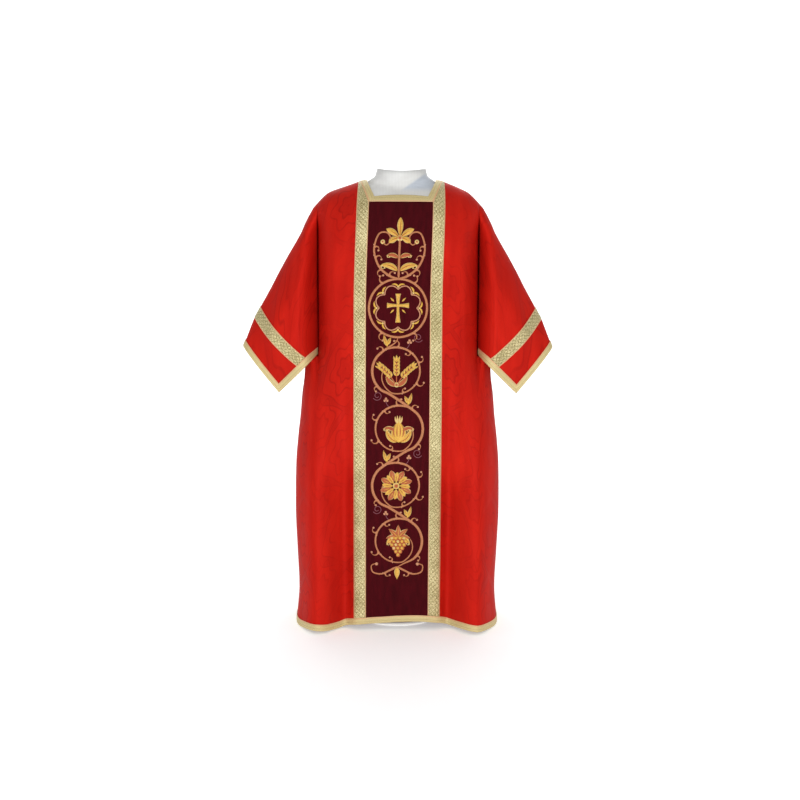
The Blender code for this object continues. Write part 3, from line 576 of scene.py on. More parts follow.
def sleeve_sections():
    """All lines across a sleeve from the armhole to the cuff, and the number of each named one."""
    band = sleeve_section(*SLEEVE_LINES[0][1:4])
    sections = []
    for step in range(FAN_STEPS + 1):
        share = step / FAN_STEPS
        along = band[2] * share
        low = mix(ARMPIT, band[1], share)
        top = top_line(along * TOP_LENGTH)
        sections.append((top, low, along, band[3] * share, BAND_BOW * share ** 2))
    starts = {}
    for line, after in zip(SLEEVE_LINES, SLEEVE_LINES[1:]):
        starts[line.name] = len(sections) - 1
        for step in range(1, line.steps + 1):
            share = step / line.steps
            here = (mix(a, b, share) for a, b in zip(line[1:4], after[1:4]))
            sections.append(sleeve_section(*here))
    return sections, starts


def sleeve_depth(side, point, reach, share):
    """Distance of a sleeve's outer face from the middle plane."""
    arm_height = mix(SLEEVE_TOP[0][1], ARMPIT_HEIGHT, share)
    at_armhole = cloth_depth(side, SEAM_X, arm_height)
    at_cuff = CUFF_DEPTH * quarter_round(share / CUFF_ROUND)
    rise = math.sin(0.5 * math.pi * min(1.0, (point.x - SEAM_X) / SLEEVE_BULGE_RUN))
    fall = 1.0 - smooth_step((reach - SLEEVE_BULGE_END) / (1.0 - SLEEVE_BULGE_END))
    swell = rise * fall * smooth_step(share / SLEEVE_BULGE_TOP)
    return mix(at_armhole, at_cuff, smooth_step(reach)) + SLEEVE_BULGE * swell


def sleeve_grid(hand):
    """Points of one sleeve, from its front lower edge over the top to its back lower edge."""
    grid = {}
    sections, starts = sleeve_sections()
    along_cuff = (CUFF_CORNER - CUFF_TOP).normalized()
    to_cuff = Vector((-along_cuff.z, 0.0, along_cuff.x))
    for number, (top, low, top_reach, low_reach, bow) in enumerate(sections):
        bound = 1.0 - BINDING_WIDTH / (low - top).length
        shares = [
            bound * (step / SLEEVE_STEPS) ** SLEEVE_CROWDING for step in range(SLEEVE_STEPS + 1)
        ]
        shares += [mix(bound, 1.0, step / BOUND_STEPS) for step in range(1, BOUND_STEPS + 1)]
        for place, share in enumerate(shares):
            rest = 1.0 - min(1.0, share / bound)
            bowed = 4.0 * bow * rest * (1.0 - rest)
            point = mix(top, low, share) + to_cuff * bowed
            reach = mix(top_reach, low_reach, share)
            for side in (FRONT, BACK):
                x = hand * (point.x + ARMHOLE_GAP * (1.0 - reach))
                depth = sleeve_depth(side, point, reach, share)
                pushed = unevenness(side, hand * point.x, point.z)
                depth -= smooth_step(share / SLEEVE_EASE) * pushed
                grid[side * place, number] = Vector((x, side * depth, point.z))
    return grid, starts


# ---------------------------------------------------------------- meshes

def mesh_object(name, points, faces, maps, material, thickness=0.0, grow=False, host=None):
    """A smooth piece that rides on the part or its host, with flat maps and perhaps a wall."""
    mesh = bpy.data.meshes.new(name)
    mesh.from_pydata([tuple(point) for point in points], [], faces)
    for map_name, places in maps.items():
        layer = mesh.uv_layers.new(name=map_name)
        for loop in mesh.loops:
            layer.data[loop.index].uv = places[loop.vertex_index]
    mesh.shade_smooth()
    mesh.materials.append(material)
    piece = bpy.data.objects.new(name, mesh)
    bpy.context.scene.collection.objects.link(piece)
    if thickness:
        wall = piece.modifiers.new("Wall", "SOLIDIFY")
        wall.thickness = thickness
        wall.offset = 1.0 if grow else -1.0
        wall.use_even_offset = True
    if host:
        piece.parent = host
    else:
        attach(piece, "root")
    return piece


def grid_faces(keys, places, wrap):
    """Quads between neighbouring points of a grid."""
    faces = []
    for row, column in keys:
        below = (row + 1) % wrap if wrap else row + 1
        corners = ((row, column), (below, column), (below, column + 1), (row, column + 1))
        if all(corner in places for corner in corners):
            faces.append([places[corner] for corner in corners])
    return faces


def face_normal(points, face):
    """Unnormalised normal of a quad."""
    a, b, c, d = (points[corner] for corner in face)
    return (c - a).cross(d - b)


def grid_object(name, grid, flat, across, material, outward, thickness, wrap=0, grow=False):
    """A piece over a grid of points; its faces look along outward at its first face.

    Returns the piece and the outward normal at each point.
    """
    keys = sorted(grid)
    places = {key: index for index, key in enumerate(keys)}
    points = [grid[key] for key in keys]
    faces = grid_faces(keys, places, wrap)
    if face_normal(points, faces[0]).dot(outward) < 0.0:
        faces = [face[::-1] for face in faces]
    sums = [Vector() for _ in points]
    for face in faces:
        normal = face_normal(points, face)
        for corner in face:
            sums[corner] += normal
    normals = {key: sums[index].normalized() for key, index in places.items()}
    maps = {"Metres": [flat[key] for key in keys]}
    if across:
        maps["Across"] = [across[key] for key in keys]
    piece = mesh_object(name, points, faces, maps, material, thickness, grow)
    return piece, normals


def flat_places(grid, places):
    """Flat places in metres: u of each column as given, v along each column from the top row."""
    flat = {}
    rows = sorted({row for row, _ in grid})
    for column in sorted({column for _, column in grid}):
        previous = None
        for row in rows:
            point = grid.get((row, column))
            if point is None:
                continue
            if previous is None:
                down = row * CLOTH_STEP
            else:
                down += (point - previous).length
            previous = point
            flat[row, column] = (math.copysign(places[abs(column)], column), down)
    return flat


def strip_object(name, panel, rows, columns, material, own_map=False):
    """A trim that lies on a panel: the panel's points moved out, a little short all round.

    With own_map its flat places run across and along the trim and not with the panel's weave.
    """
    grid, normals, flat = panel
    strip = {}
    places = {}
    across = {}
    rows = list(rows)
    columns = list(columns)
    for index, row in enumerate(rows):
        for number, column in enumerate(columns):
            strip[index, number] = grid[row, column] + normals[row, column] * TRIM_FACE
            places[index, number] = flat[row, column]
            across[index, number] = (number / (len(columns) - 1), index / (len(rows) - 1))
    ends = (0, len(rows) - 1)
    edges = (0, len(columns) - 1)
    if own_map:
        middle = len(columns) // 2
        along = 0.0
        for index in range(len(rows)):
            if index:
                along += (strip[index, middle] - strip[index - 1, middle]).length
            for number in range(len(columns)):
                off = (strip[index, number] - strip[index, middle]).length
                places[index, number] = (math.copysign(off, number - middle), along)
    trimmed = {}
    for (index, number), point in strip.items():
        moved = point.copy()
        if index in ends:
            moved += (strip[abs(index - 1), number] - point).normalized() * EDGE_TRIM
        if number in edges:
            moved += (strip[index, abs(number - 1)] - point).normalized() * EDGE_TRIM
        trimmed[index, number] = moved
    outward = normals[rows[0], columns[0]]
    piece, _ = grid_object(name, trimmed, places, across, material, outward, TRIM_SHELL)
    return piece, trimmed


# A place along a bound edge: points on the edge and at the binding's far side, and normals.
Stitch = namedtuple("Stitch", "edge inner edge_normal inner_normal")

# The fold of a binding from its outer sewn edge over to the inner one: share of the way to the
# cloth's edge, height of its middle above the cloth's outer face, reach past the cloth's edge.
FoldPoint = namedtuple("FoldPoint", "share height past")
BINDING_FOLD = (
    FoldPoint(0.00, 0.0007, 0.0),
    FoldPoint(0.08, 0.0013, 0.0),
    FoldPoint(0.50, 0.0014, 0.0),
    FoldPoint(0.92, 0.0013, 0.0),
    FoldPoint(1.00, 0.0009, 0.0010),
    FoldPoint(1.00, -0.0006, 0.0014),
    FoldPoint(1.00, -0.0021, 0.0010),
    FoldPoint(0.50, -0.0026, 0.0),
    FoldPoint(0.00, -0.0022, 0.0),
)
BINDING_SHELL = 0.0006    # thickness of the braid


def binding_object(name, stitches, closed, material):
    """A braid folded over an edge, from its places along that edge."""
    grid = {}
    flat = {}
    across = {}
    along = 0.0
    for index, stitch in enumerate(stitches):
        if index:
            before = stitches[index - 1]
            along += 0.5 * (stitch.edge + stitch.inner - before.edge - before.inner).length
        outward = (stitch.edge - stitch.inner).normalized()
        for number, fold in enumerate(BINDING_FOLD):
            point = mix(stitch.inner, stitch.edge, fold.share) + outward * fold.past
            normal = mix(stitch.inner_normal, stitch.edge_normal, fold.share).normalized()
            grid[index, number] = point + normal * fold.height
            flat[index, number] = (fold.share * BINDING_WIDTH, along)
            across[index, number] = (fold.share, along)
    piece, _ = grid_object(
        name, grid, flat, across, material, stitches[0].inner_normal, BINDING_SHELL,
        wrap=len(stitches) if closed else 0, grow=True,
    )
    return piece, grid


def stitches_along(grid, normals, pairs):
    """Places along a bound edge from pairs of grid keys, edge first."""
    return [
        Stitch(grid[edge], grid[inner], normals[edge], normals[inner])
        for edge, inner in pairs
    ]


def shortened(stitches, distance):
    """The same places without those that lie within a distance of the first one's edge."""
    start = stitches[0].edge
    return [stitch for stitch in stitches if (stitch.edge - start).length >= distance]


# ---------------------------------------------------------------- the form

def form_depth(side, ring, x):
    """Half depth of the form at x: its own torso, kept under the cloth, and its neck."""
    across = max(0.0, 1.0 - (abs(x) / ring.half_width) ** FORM_POWER)
    depth = ring.half_depth * across ** (1.0 / FORM_POWER)
    room = FORM_SEAT + (BRAID_ROOM if abs(x) < BRAID_ROOM_X else 0.0)
    depth = min(depth, FORM_EASE * cloth_depth(side, x, ring.height + room))
    if ring.neck_width > abs(x):
        neck = ring.neck_depth * math.sqrt(1.0 - (x / ring.neck_width) ** 2)
        depth = max(depth, neck)
    return depth


NECK_LIP_SHARE = 0.95     # the rim's soft inner lip
NECK_LIP_DROP = 0.0006
FORM_ROW_STEP = 0.012     # height between the form's rings
MIDDLE_PLANE = 0.001      # a ring's points this close to its ends lie in the middle plane


def form_rings():
    """Points of the form's rings, from the recessed cap and the neck's rim down."""
    turn = 2.0 * math.pi / FORM_STEPS
    around = [(math.cos(turn * step), math.sin(turn * step)) for step in range(FORM_STEPS)]
    rim = [
        Vector((NECK_TOP_WIDTH * across, NECK_TOP_DEPTH * along, NECK_TOP - NECK_DIP * along ** 2))
        for across, along in around
    ]
    cap = NECK_CAP_SHARE
    lip = NECK_LIP_SHARE
    low = [Vector((p.x * cap, p.y * cap, NECK_TOP - NECK_CAP_DROP)) for p in rim]
    inner = [Vector((p.x * lip, p.y * lip, p.z - NECK_LIP_DROP)) for p in rim]
    for point in (*rim, *low, *inner):
        point.x += lean(0.0, point.z)
    rings = [low, inner, rim]
    shoulders = [FormRing(ridge_height(row[0]) - FORM_SEAT, *row) for row in FORM_SHOULDERS]
    table = [*FORM_NECK, *shoulders, *FORM_TORSO]
    rows = []
    for ring, after in zip(table, table[1:]):
        count = max(1, round((ring.height - after.height) / FORM_ROW_STEP))
        rows += [FormRing(*(mix(a, b, part / count) for a, b in zip(ring, after)))
                 for part in range(count)]
    for row in [*rows, table[-1]]:
        points = []
        for across, along in around:
            x = row.half_width * across
            side = FRONT if along < 0.0 else BACK
            depth = form_depth(side, row, x) if abs(along) > MIDDLE_PLANE else 0.0
            depth -= pushed_back(JERSEY_FOLDS, side, x, row.height, JERSEY_ENDS, ROUND)
            points.append(Vector((x + lean(x, row.height), side * max(0.0, depth), row.height)))
        rings.append(points)
    return rings


# ---------------------------------------------------------------- embroidery

# Places, lengths, widths and heights in this part are in metres, and angles in degrees. A place
# is x and height on the front orphrey's face, and a stitch's height is above that face.

NORMAL_REACH = 0.002      # how far apart the points lie that give the velvet's direction
STITCH_STEP = 0.0022      # spacing of the points along a stroke
DOT_STEPS = 12

class Thread:
    """All stitches in one colour of thread: points, faces and flat maps."""

    def __init__(self):
        self.points = []
        self.faces = []
        self.flat = []
        self.across = []


def velvet_point(x, height, lift):
    """A point above the front orphrey's face."""
    here = body_point(FRONT, x, height)
    to_side = body_point(FRONT, x + NORMAL_REACH, height) - here
    to_top = body_point(FRONT, x, height + NORMAL_REACH) - here
    normal = to_side.cross(to_top).normalized()
    return here + normal * (TRIM_FACE + lift)


def smooth_line(points, step):
    """Points about one step apart on a smooth curve through the given flat ones."""
    line = []
    for index in range(len(points) - 1):
        a = Vector(points[max(index - 1, 0)])
        b = Vector(points[index])
        c = Vector(points[index + 1])
        d = Vector(points[min(index + 2, len(points) - 1)])
        count = max(2, round((c - b).length / step))
        for part in range(count):
            t = part / count
            line.append(
                0.5 * (2.0 * b + (c - a) * t + (2.0 * a - 5.0 * b + 4.0 * c - d) * t ** 2
                       + (3.0 * b - a - 3.0 * c + d) * t ** 3)
            )
    line.append(Vector(points[-1]))
    return line


# How wide a stroke is along its length, as a share of its full width.
WIDTHS = {
    "stem": lambda t: min(1.0, 0.35 + 9.0 * t, 0.35 + 9.0 * (1.0 - t)),
    "taper": lambda t: max(0.20, min(1.0, 0.4 + 6.0 * t) * (1.0 - 0.55 * t)),
    "leaf": lambda t: max(0.05, math.sin(math.pi * t ** 0.75) ** 0.85),
    "petal": lambda t: max(0.06, math.sin(math.pi * min(1.0, t) ** 1.45) ** 0.75),
    "hook": lambda t: max(0.26, (1.0 - t) ** 0.8),
    "flared": lambda t: 0.72 + 0.75 * abs(2.0 * t - 1.0) ** 2.2,
    "ring": lambda t: 1.0,
}
# A stroke's section: place across its half width, and share of its height.
StrokePoint = namedtuple("StrokePoint", "across height")
STROKE_SECTION = (
    StrokePoint(-1.00, -0.15),
    StrokePoint(-0.72, 0.72),
    StrokePoint(0.00, 1.00),
    StrokePoint(0.72, 0.72),
    StrokePoint(1.00, -0.15),
)
DOT_RINGS = ((0.6, 0.8), (1.0, -0.15))  # a round stitch's rings: share of its radius and height


def stroke(thread, points, width, height, kind):
    """A padded satin-stitch stroke along a smooth line on the velvet."""
    line = smooth_line(points, STITCH_STEP)
    total = path_length(line)
    height *= settings().embroidery_height
    along = 0.0
    start = len(thread.points)
    count = len(STROKE_SECTION)
    for index, point in enumerate(line):
        before = line[max(index - 1, 0)]
        after = line[min(index + 1, len(line) - 1)]
        if index:
            along += (point - before).length
        run = (after - before).normalized()
        half = 0.5 * width * WIDTHS[kind](along / total)
        for place in STROKE_SECTION:
            off = place.across * half
            x = point.x - run.y * off
            z = point.y + run.x * off
            thread.points.append(velvet_point(x, z, place.height * height))
            thread.flat.append((along, off))
            thread.across.append((0.5 + 0.5 * place.across, along))
        if index:
            for number in range(count - 1):
                low = start + (index - 1) * count + number
                thread.faces.append((low, low + count, low + count + 1, low + 1))


def dot(thread, x, z, radius, height):
    """A small padded round stitch, such as a berry."""
    height *= settings().embroidery_height
    start = len(thread.points)
    thread.points.append(velvet_point(x, z, height))
    thread.flat.append((0.0, 0.0))
    thread.across.append((0.5, 0.0))
    for share, rise in DOT_RINGS:
        for step in range(DOT_STEPS):
            angle = 2.0 * math.pi * step / DOT_STEPS
            off_x = radius * share * math.cos(angle)
            off_z = radius * share * math.sin(angle)
            thread.points.append(velvet_point(x + off_x, z + off_z, height * rise))
            thread.flat.append((off_x, off_z))
            thread.across.append((0.5 + 0.5 * off_x / radius, off_z))
    inner = start + 1
    outer = inner + DOT_STEPS
    for step in range(DOT_STEPS):
        after = (step + 1) % DOT_STEPS
        thread.faces.append((start, inner + step, inner + after))
        thread.faces.append((inner + step, outer + step, outer + after, inner + after))


def outlined(threads, fill, points, width, kind, height=0.0012, edge=0.0009, under="pale"):
    """A stroke in one thread over a slightly wider one in another."""
    stroke(threads[under], points, width + 2.0 * edge, 0.55 * height, kind)
    stroke(threads[fill], points, width, height, kind)


def bent_line(x, z, angle, length, bend, count=5):
    """Flat points of a line that starts at an angle and bends as it runs; angles in degrees."""
    points = [(x, z)]
    for part in range(count):
        heading = math.radians(angle + bend * (part + 0.5) / count)
        x += math.cos(heading) * length / count
        z += math.sin(heading) * length / count
        points.append((x, z))
    return points


def arc(x, z, radius, start, end, side, steps, shrink=0.0):
    """Flat points round a centre, angles in degrees, mirrored for side -1."""
    points = []
    for part in range(steps + 1):
        share = part / steps
        angle = math.radians(mix(start, end, share))
        reach = radius * (1.0 - shrink * share)
        points.append((x + side * reach * math.cos(angle), z + reach * math.sin(angle)))
    return points


def hook(threads, x, z, angle, length, bend, width=0.0062, fill="copper"):
    """A curled tendril leaf that ends in a round tip."""
    points = bent_line(x, z, angle, length, bend, 7)
    stroke(threads[fill], points, width, 0.0012, "hook")
    dot(threads["rose"], *points[-1], 0.50 * width, 0.0015)


def sprig(threads, line, share, turn, length):
    """A pair of curled leaves that leave a line at a share of its length, to one side of it."""
    smooth = smooth_line(line, 0.004)
    index = min(int(share * (len(smooth) - 1)), len(smooth) - 2)
    here = smooth[index]
    run = smooth[index + 1] - here
    heading = math.degrees(math.atan2(run.y, run.x))
    hook(threads, here.x, here.y, heading + turn * 20.0, length, turn * 190.0)
    small = 0.45 * length
    hook(threads, here.x, here.y, heading + turn * 46.0, small, -turn * 110.0, 0.0046, "rose")


def plume(threads, x, z, angle, length, turn, width, fill="gold"):
    """A broad petal that curls over to one side, with a dark rib and a rolled tip."""
    points = bent_line(x, z, angle, length, turn * 70.0, 6)
    outlined(threads, fill, points, width, "leaf", 0.0014)
    stroke(threads["orange"], points[:6], 0.20 * width, 0.0021, "leaf")
    tip = bent_line(*points[-2], angle + turn * 62.0, 0.36 * length, turn * 230.0, 7)
    stroke(threads["pale"], tip, 0.0044, 0.0017, "hook")
    dot(threads["pale"], *tip[-1], 0.0026, 0.0019)


def rosette(threads, x, z):
    """A round open flower with two rows of petals."""
    for row, (fill, start, length, width) in enumerate((
            ("orange", 0.012, 0.0330, 0.0150), ("gold", 0.007, 0.0310, 0.0140))):
        for number in range(8):
            angle = 45.0 * (number + 0.5 - 0.5 * row)
            near = bent_line(x, z, angle, start, 0.0, 1)[-1]
            line = bent_line(*near, angle, length, -14.0, 4)
            rise = 0.0005 * row
            outlined(threads, fill, line, width, "petal", 0.0012 + rise)
            rib = threads["orange" if row else "gold"]
            stroke(rib, line[1:4], 0.0024, 0.0019 + rise, "leaf")
    dot(threads["pale"], x, z, 0.0100, 0.0020)
    dot(threads["orange"], x, z, 0.0076, 0.0026)
    for number in range(7):
        angle = math.radians(360.0 * number / 7.0)
        seed = (x + 0.0052 * math.cos(angle), z + 0.0052 * math.sin(angle))
        dot(threads["gold"], *seed, 0.0018, 0.0031)


def grapes(threads, x, z):
    """A bunch of grapes under a lobed leaf, between two curled leaves."""
    for turn in (-1, 1):
        plume(threads, x + turn * 0.006, z + 0.012, 90.0 - turn * 100.0, 0.036, -turn * 0.9, 0.0110)
    lobes = ((-72.0, 0.034), (-36.0, 0.036), (36.0, 0.036), (72.0, 0.034), (0.0, 0.036))
    for lobe, length in lobes:
        line = bent_line(x, z + 0.010, 90.0 + lobe, length, lobe * 0.6)
        outlined(threads, "orange", line, 0.0135, "leaf")
        stroke(threads["gold"], line[:5], 0.0026, 0.0019, "leaf")
    for row, count in enumerate((4, 5, 4, 3, 2, 1)):
        for number in range(count):
            at_x = x + (number - 0.5 * (count - 1)) * 0.0110
            fill = "gold" if (row + number) % 3 else "pale"
            dot(threads["orange"], at_x, z + 0.008 - row * 0.0094, 0.0064, 0.0016)
            dot(threads[fill], at_x - 0.0006, z + 0.0087 - row * 0.0094, 0.0051, 0.0025)


def pomegranate(threads, x, z):
    """A split fruit with a crown, held between curling leaves."""
    for turn in (-1, 1):
        plume(threads, x + turn * 0.004, z - 0.034, 90.0 - turn * 78.0, 0.050, turn * 1.2, 0.0150)
        plume(threads, x + turn * 0.010, z - 0.004, 90.0 - turn * 52.0, 0.034, -turn * 0.9, 0.0110,
              "orange")
    fruit = [(x, z - 0.036), (x, z - 0.010), (x, z + 0.022)]
    outlined(threads, "gold", fruit, 0.0420, "leaf", 0.0022)
    for off in (-0.0105, -0.0035, 0.0035, 0.0105):
        line = bent_line(x + off, z - 0.021, 90.0 - off * 1900.0, 0.032, off * 3800.0, 4)
        stroke(threads["orange"], line, 0.0040, 0.0029, "leaf")
    for turn in (-46.0, -16.0, 16.0, 46.0):
        line = bent_line(x, z + 0.013, 90.0 + turn, 0.025, -turn, 3)
        outlined(threads, "pale", line, 0.0064, "leaf", 0.0020, 0.0006, "orange")


def wheat(threads, x, z):
    """Three ears of wheat that fan out of one knot, with a curled leaf on each side."""
    for turn in (-1, 1):
        plume(threads, x, z - 0.038, 90.0 - turn * 80.0, 0.044, turn * 1.1, 0.0130, "orange")
    for turn in (-46.0, 0.0, 46.0):
        line = bent_line(x, z - 0.040, 90.0 + turn * 0.55, 0.066, turn * 0.6, 7)
        stroke(threads["orange"], line, 0.0034, 0.0010, "stem")
        for number in range(3, len(line)):
            (before_x, before_z), (at_x, at_z) = line[number - 1:number + 1]
            heading = math.degrees(math.atan2(at_z - before_z, at_x - before_x))
            for hand in (-1, 1):
                grain = bent_line(at_x, at_z, heading + hand * 52.0, 0.0175, -hand * 50.0, 3)
                outlined(threads, "gold", grain, 0.0052, "leaf", 0.0018, 0.0007)
        beard = bent_line(*line[-1], 90.0 + turn, 0.018, 0.0, 2)
        outlined(threads, "gold", beard, 0.0056, "leaf")
    dot(threads["pale"], x, z - 0.036, 0.0076, 0.0021)
    dot(threads["orange"], x, z - 0.036, 0.0052, 0.0026)


# Scrolls of the vine from the bottom up: centre, the side its stem passes on, and its flower.
Scroll = namedtuple("Scroll", "x z side flower")
SCROLLS = (
    Scroll(0.003, 0.252, 1, grapes),
    Scroll(-0.003, 0.408, -1, rosette),
    Scroll(0.003, 0.564, 1, pomegranate),
    Scroll(-0.003, 0.720, -1, wheat),
)
SCROLL_RADIUS = 0.0650
STEM_WIDTH = 0.0076
MEDALLION = (0.0, 0.888)
MEDALLION_RADIUS = 0.0770
SCALLOP_STEPS = 96
CREST_HEIGHT = 1.056
VINE_FOOT = 0.1780

# The wearer's left half of the crest, from its height up, and of the volutes at the vine's foot.
CREST = (
    (0.0, -0.090), (0.026, -0.082), (0.054, -0.056), (0.067, -0.014), (0.056, 0.026),
    (0.034, 0.030), (0.024, 0.012), (0.034, -0.002), (0.046, 0.006),
)
FOOT = (
    (0.0, 0.1800), (0.020, 0.1690), (0.044, 0.1590), (0.066, 0.1650), (0.070, 0.1830),
    (0.057, 0.1890),
)


def embroider_vine(threads):
    """The scrolling stem with its branches, leaves and flowers."""
    stem = [(0.0, VINE_FOOT)]
    for scroll in SCROLLS:
        stem += arc(scroll.x, scroll.z, SCROLL_RADIUS, -76.0, 60.0, scroll.side, 5)
    stem += [(-0.006, 0.797), (0.0, MEDALLION[1] - MEDALLION_RADIUS - 0.002)]
    stroke(threads["copper"], stem, STEM_WIDTH, 0.0013, "stem")
    for x, z, side, flower in SCROLLS:
        branch = arc(x, z, SCROLL_RADIUS, 52.0, 280.0, side, 12, 0.08)
        branch += arc(x, z, 0.92 * SCROLL_RADIUS, 280.0, 370.0, side, 6, 0.45)[1:]
        stroke(threads["copper"], branch, STEM_WIDTH * 0.92, 0.0012, "taper")
        flower(threads, x, z)
        for share, hand, length in ((0.13, -1, 0.030), (0.34, -1, 0.026), (0.52, -1, 0.030),
                                    (0.24, 1, 0.021), (0.66, 1, 0.018)):
            sprig(threads, branch, share, hand * side, length)
        outer = arc(x, z, SCROLL_RADIUS, -70.0, 60.0, side, 8)
        sprig(threads, outer, 0.24, -side, 0.022)
        sprig(threads, outer, 0.95, -side, 0.026)
        stalk = [(x - side * off, z + up) for off, up in
                 ((0.026, 0.060), (0.032, 0.068), (0.034, 0.075))]
        stroke(threads["mauve"], stalk, 0.0022, 0.0008, "ring")
        for off, up in ((-0.0034, 0.0), (0.0034, 0.0), (0.0, 0.0054)):
            dot(threads["rose"], x - side * 0.034 + off, z + 0.077 + up, 0.0036, 0.0014)
        curl = arc(x - side * 0.057, z + 0.090, 0.0130, -150.0, 330.0, side, 12, 0.72)
        stroke(threads["mauve"], curl, 0.0022, 0.0008, "ring")
        for lift, heading in ((0.0, 62.0), (0.004, 104.0)):
            angle = heading if side > 0 else 180.0 - heading
            length = 0.034 - 3.0 * lift
            bud = bent_line(x + side * 0.024, z + 0.066 + lift, angle, length, side * 20.0, 4)
            outlined(threads, "gold", bud, 0.0088, "leaf", 0.0022)
            stroke(threads["orange"], bud[1:], 0.0020, 0.0028, "leaf")


def embroider_medallion(threads):
    """A ring with a scalloped line inside it round a plain cross."""
    x, z = MEDALLION
    ring = arc(x, z, MEDALLION_RADIUS, 90.0, 450.0, 1, 40)
    stroke(threads["copper"], ring, 0.0066, 0.0014, "ring")
    scallop = []
    for part in range(SCALLOP_STEPS + 1):
        angle = 2.0 * math.pi * part / SCALLOP_STEPS
        reach = 0.0500 + 0.0120 * abs(math.sin(4.0 * angle))
        scallop.append((x + reach * math.cos(angle), z + reach * math.sin(angle)))
    stroke(threads["rose"], scallop, 0.0036, 0.0012, "ring")
    for number in range(8):
        angle = 45.0 * number
        at_x, at_z = bent_line(x, z, angle, 0.0570, 0.0, 1)[-1]
        for turn in (-1, 1):
            leaf = bent_line(at_x, at_z, angle + turn * 34.0, 0.0200, turn * 80.0, 4)
            stroke(threads["gold"], leaf, 0.0056, 0.0013, "leaf")
        dot(threads["pale"], at_x, at_z, 0.0034, 0.0016)
    upright = [(x, z - 0.038), (x, z), (x, z + 0.038)]
    outlined(threads, "gold", upright, 0.0090, "flared", 0.0018, 0.0006)
    z += 0.007
    arms = [(x - 0.029, z), (x, z), (x + 0.029, z)]
    outlined(threads, "gold", arms, 0.0090, "flared", 0.0020, 0.0006)
    for turn in (45.0, 135.0, 225.0, 315.0):
        near = bent_line(x, z, turn, 0.015, 0.0, 1)[-1]
        stroke(threads["gold"], bent_line(*near, turn, 0.014, 0.0, 2), 0.0050, 0.0012, "leaf")
    for line, share, turn in ((ring, 0.09, -1), (ring[::-1], 0.09, 1),
                              (ring[::-1], 0.59, 1), (ring, 0.59, -1)):
        sprig(threads, line, share, turn, 0.032)


def embroider_ends(threads):
    """The crest above the medallion and the two volutes that close the vine at its foot."""
    z = CREST_HEIGHT
    for side in (-1, 1):
        crest = [(side * x, z + up) for x, up in CREST]
        stroke(threads["copper"], crest, STEM_WIDTH, 0.0013, "taper")
        dot(threads["pale"], side * 0.045, z + 0.006, 0.0064, 0.0019)
        dot(threads["orange"], side * 0.045, z + 0.006, 0.0040, 0.0024)
        for share, turn, length in ((0.12, side, 0.024), (0.24, -side, 0.028),
                                    (0.40, side, 0.026), (0.52, side, 0.022)):
            sprig(threads, crest, share, turn, length)
        plume(threads, side * 0.004, z - 0.070, 90.0 - side * 40.0, 0.052, -side, 0.0150)
        plume(threads, side * 0.003, z - 0.036, 90.0 - side * 46.0, 0.034, -side, 0.0110, "orange")
        foot = [(side * x, height) for x, height in FOOT]
        stroke(threads["copper"], foot, STEM_WIDTH * 0.9, 0.0012, "taper")
        dot(threads["rose"], side * 0.056, 0.1875, 0.0048, 0.0016)
        sprig(threads, foot, 0.34, -side, 0.022)
    petals = ((-88.0, 0.032), (-44.0, 0.044), (44.0, 0.044), (88.0, 0.032), (0.0, 0.054))
    for turn, length in petals:
        line = bent_line(0.0, z + 0.016, 90.0 + turn, length, turn * 0.6)
        outlined(threads, "gold", line, 0.0150, "petal", 0.0015)
        stroke(threads["orange"], line[:5], 0.0028, 0.0022, "leaf")
    stem = [(0.0, z - 0.090), (0.0, z - 0.040), (0.0, z + 0.014)]
    stroke(threads["copper"], stem, 0.0064, 0.0015, "stem")
    dot(threads["pale"], 0.0, z + 0.016, 0.0090, 0.0022)
    dot(threads["orange"], 0.0, z + 0.016, 0.0064, 0.0028)
    outlined(threads, "gold", bent_line(0.0, VINE_FOOT, 270.0, 0.034, 0.0, 3), 0.0140, "leaf")


# ---------------------------------------------------------------- materials

# Settings that many nodes share, and the pale gold of gilt thread's sheen.
SMOOTH = {"interpolation_type": "SMOOTHSTEP"}
COLOURS = {"data_type": "RGBA", "out": 2}
GILT_SHEEN = "#F0E2B4"


def linear(code):
    """Linear red, green, blue and alpha of an sRGB hex colour."""
    values = []
    for start in (1, 3, 5):
        share = int(code[start:start + 2], 16) / 255.0
        values.append(share / 12.92 if share <= 0.04045 else ((share + 0.055) / 1.055) ** 2.4)
    return (*values, 1.0)


def add_node(tree, kind, *inputs, out=0, **chosen):
    """Add a shader node of a kind, such as Mix or Math.SINE, with its settings, values and links.

    Its inputs stand in order, or in one table by socket. Gives back one of its outputs.
    """
    kind, _, operation = kind.partition(".")
    node = tree.nodes.new("ShaderNode" + kind)
    if operation:
        node.operation = operation
    for name, value in chosen.items():
        setattr(node, name, value)
    by_socket = inputs[0] if inputs and isinstance(inputs[0], dict) else dict(enumerate(inputs))
    for socket, value in by_socket.items():
        if isinstance(value, bpy.types.NodeSocket):
            tree.links.new(value, node.inputs[socket])
        else:
            node.inputs[socket].default_value = value
    return node.outputs[out] if node.outputs else None


def bare_material(name):
    """An empty material, and the function that adds a node to it."""
    material = bpy.data.materials.get(name)
    if material:
        bpy.data.materials.remove(material)
    material = bpy.data.materials.new(name)
    material.use_nodes = True
    material.node_tree.nodes.clear()
    return material, partial(add_node, material.node_tree)


def finished(material, add, surface):
    """The material, with the values and links of its surface."""
    add("OutputMaterial", {"Surface": add("BsdfPrincipled", surface)})
    return material


def cloth_uv(add):
    """Flat places on a cloth, in metres, and their u and v."""
    place = add("UVMap", uv_map="Metres")
    flat = add("SeparateXYZ", place).node
    return place, flat.outputs[0], flat.outputs[1]


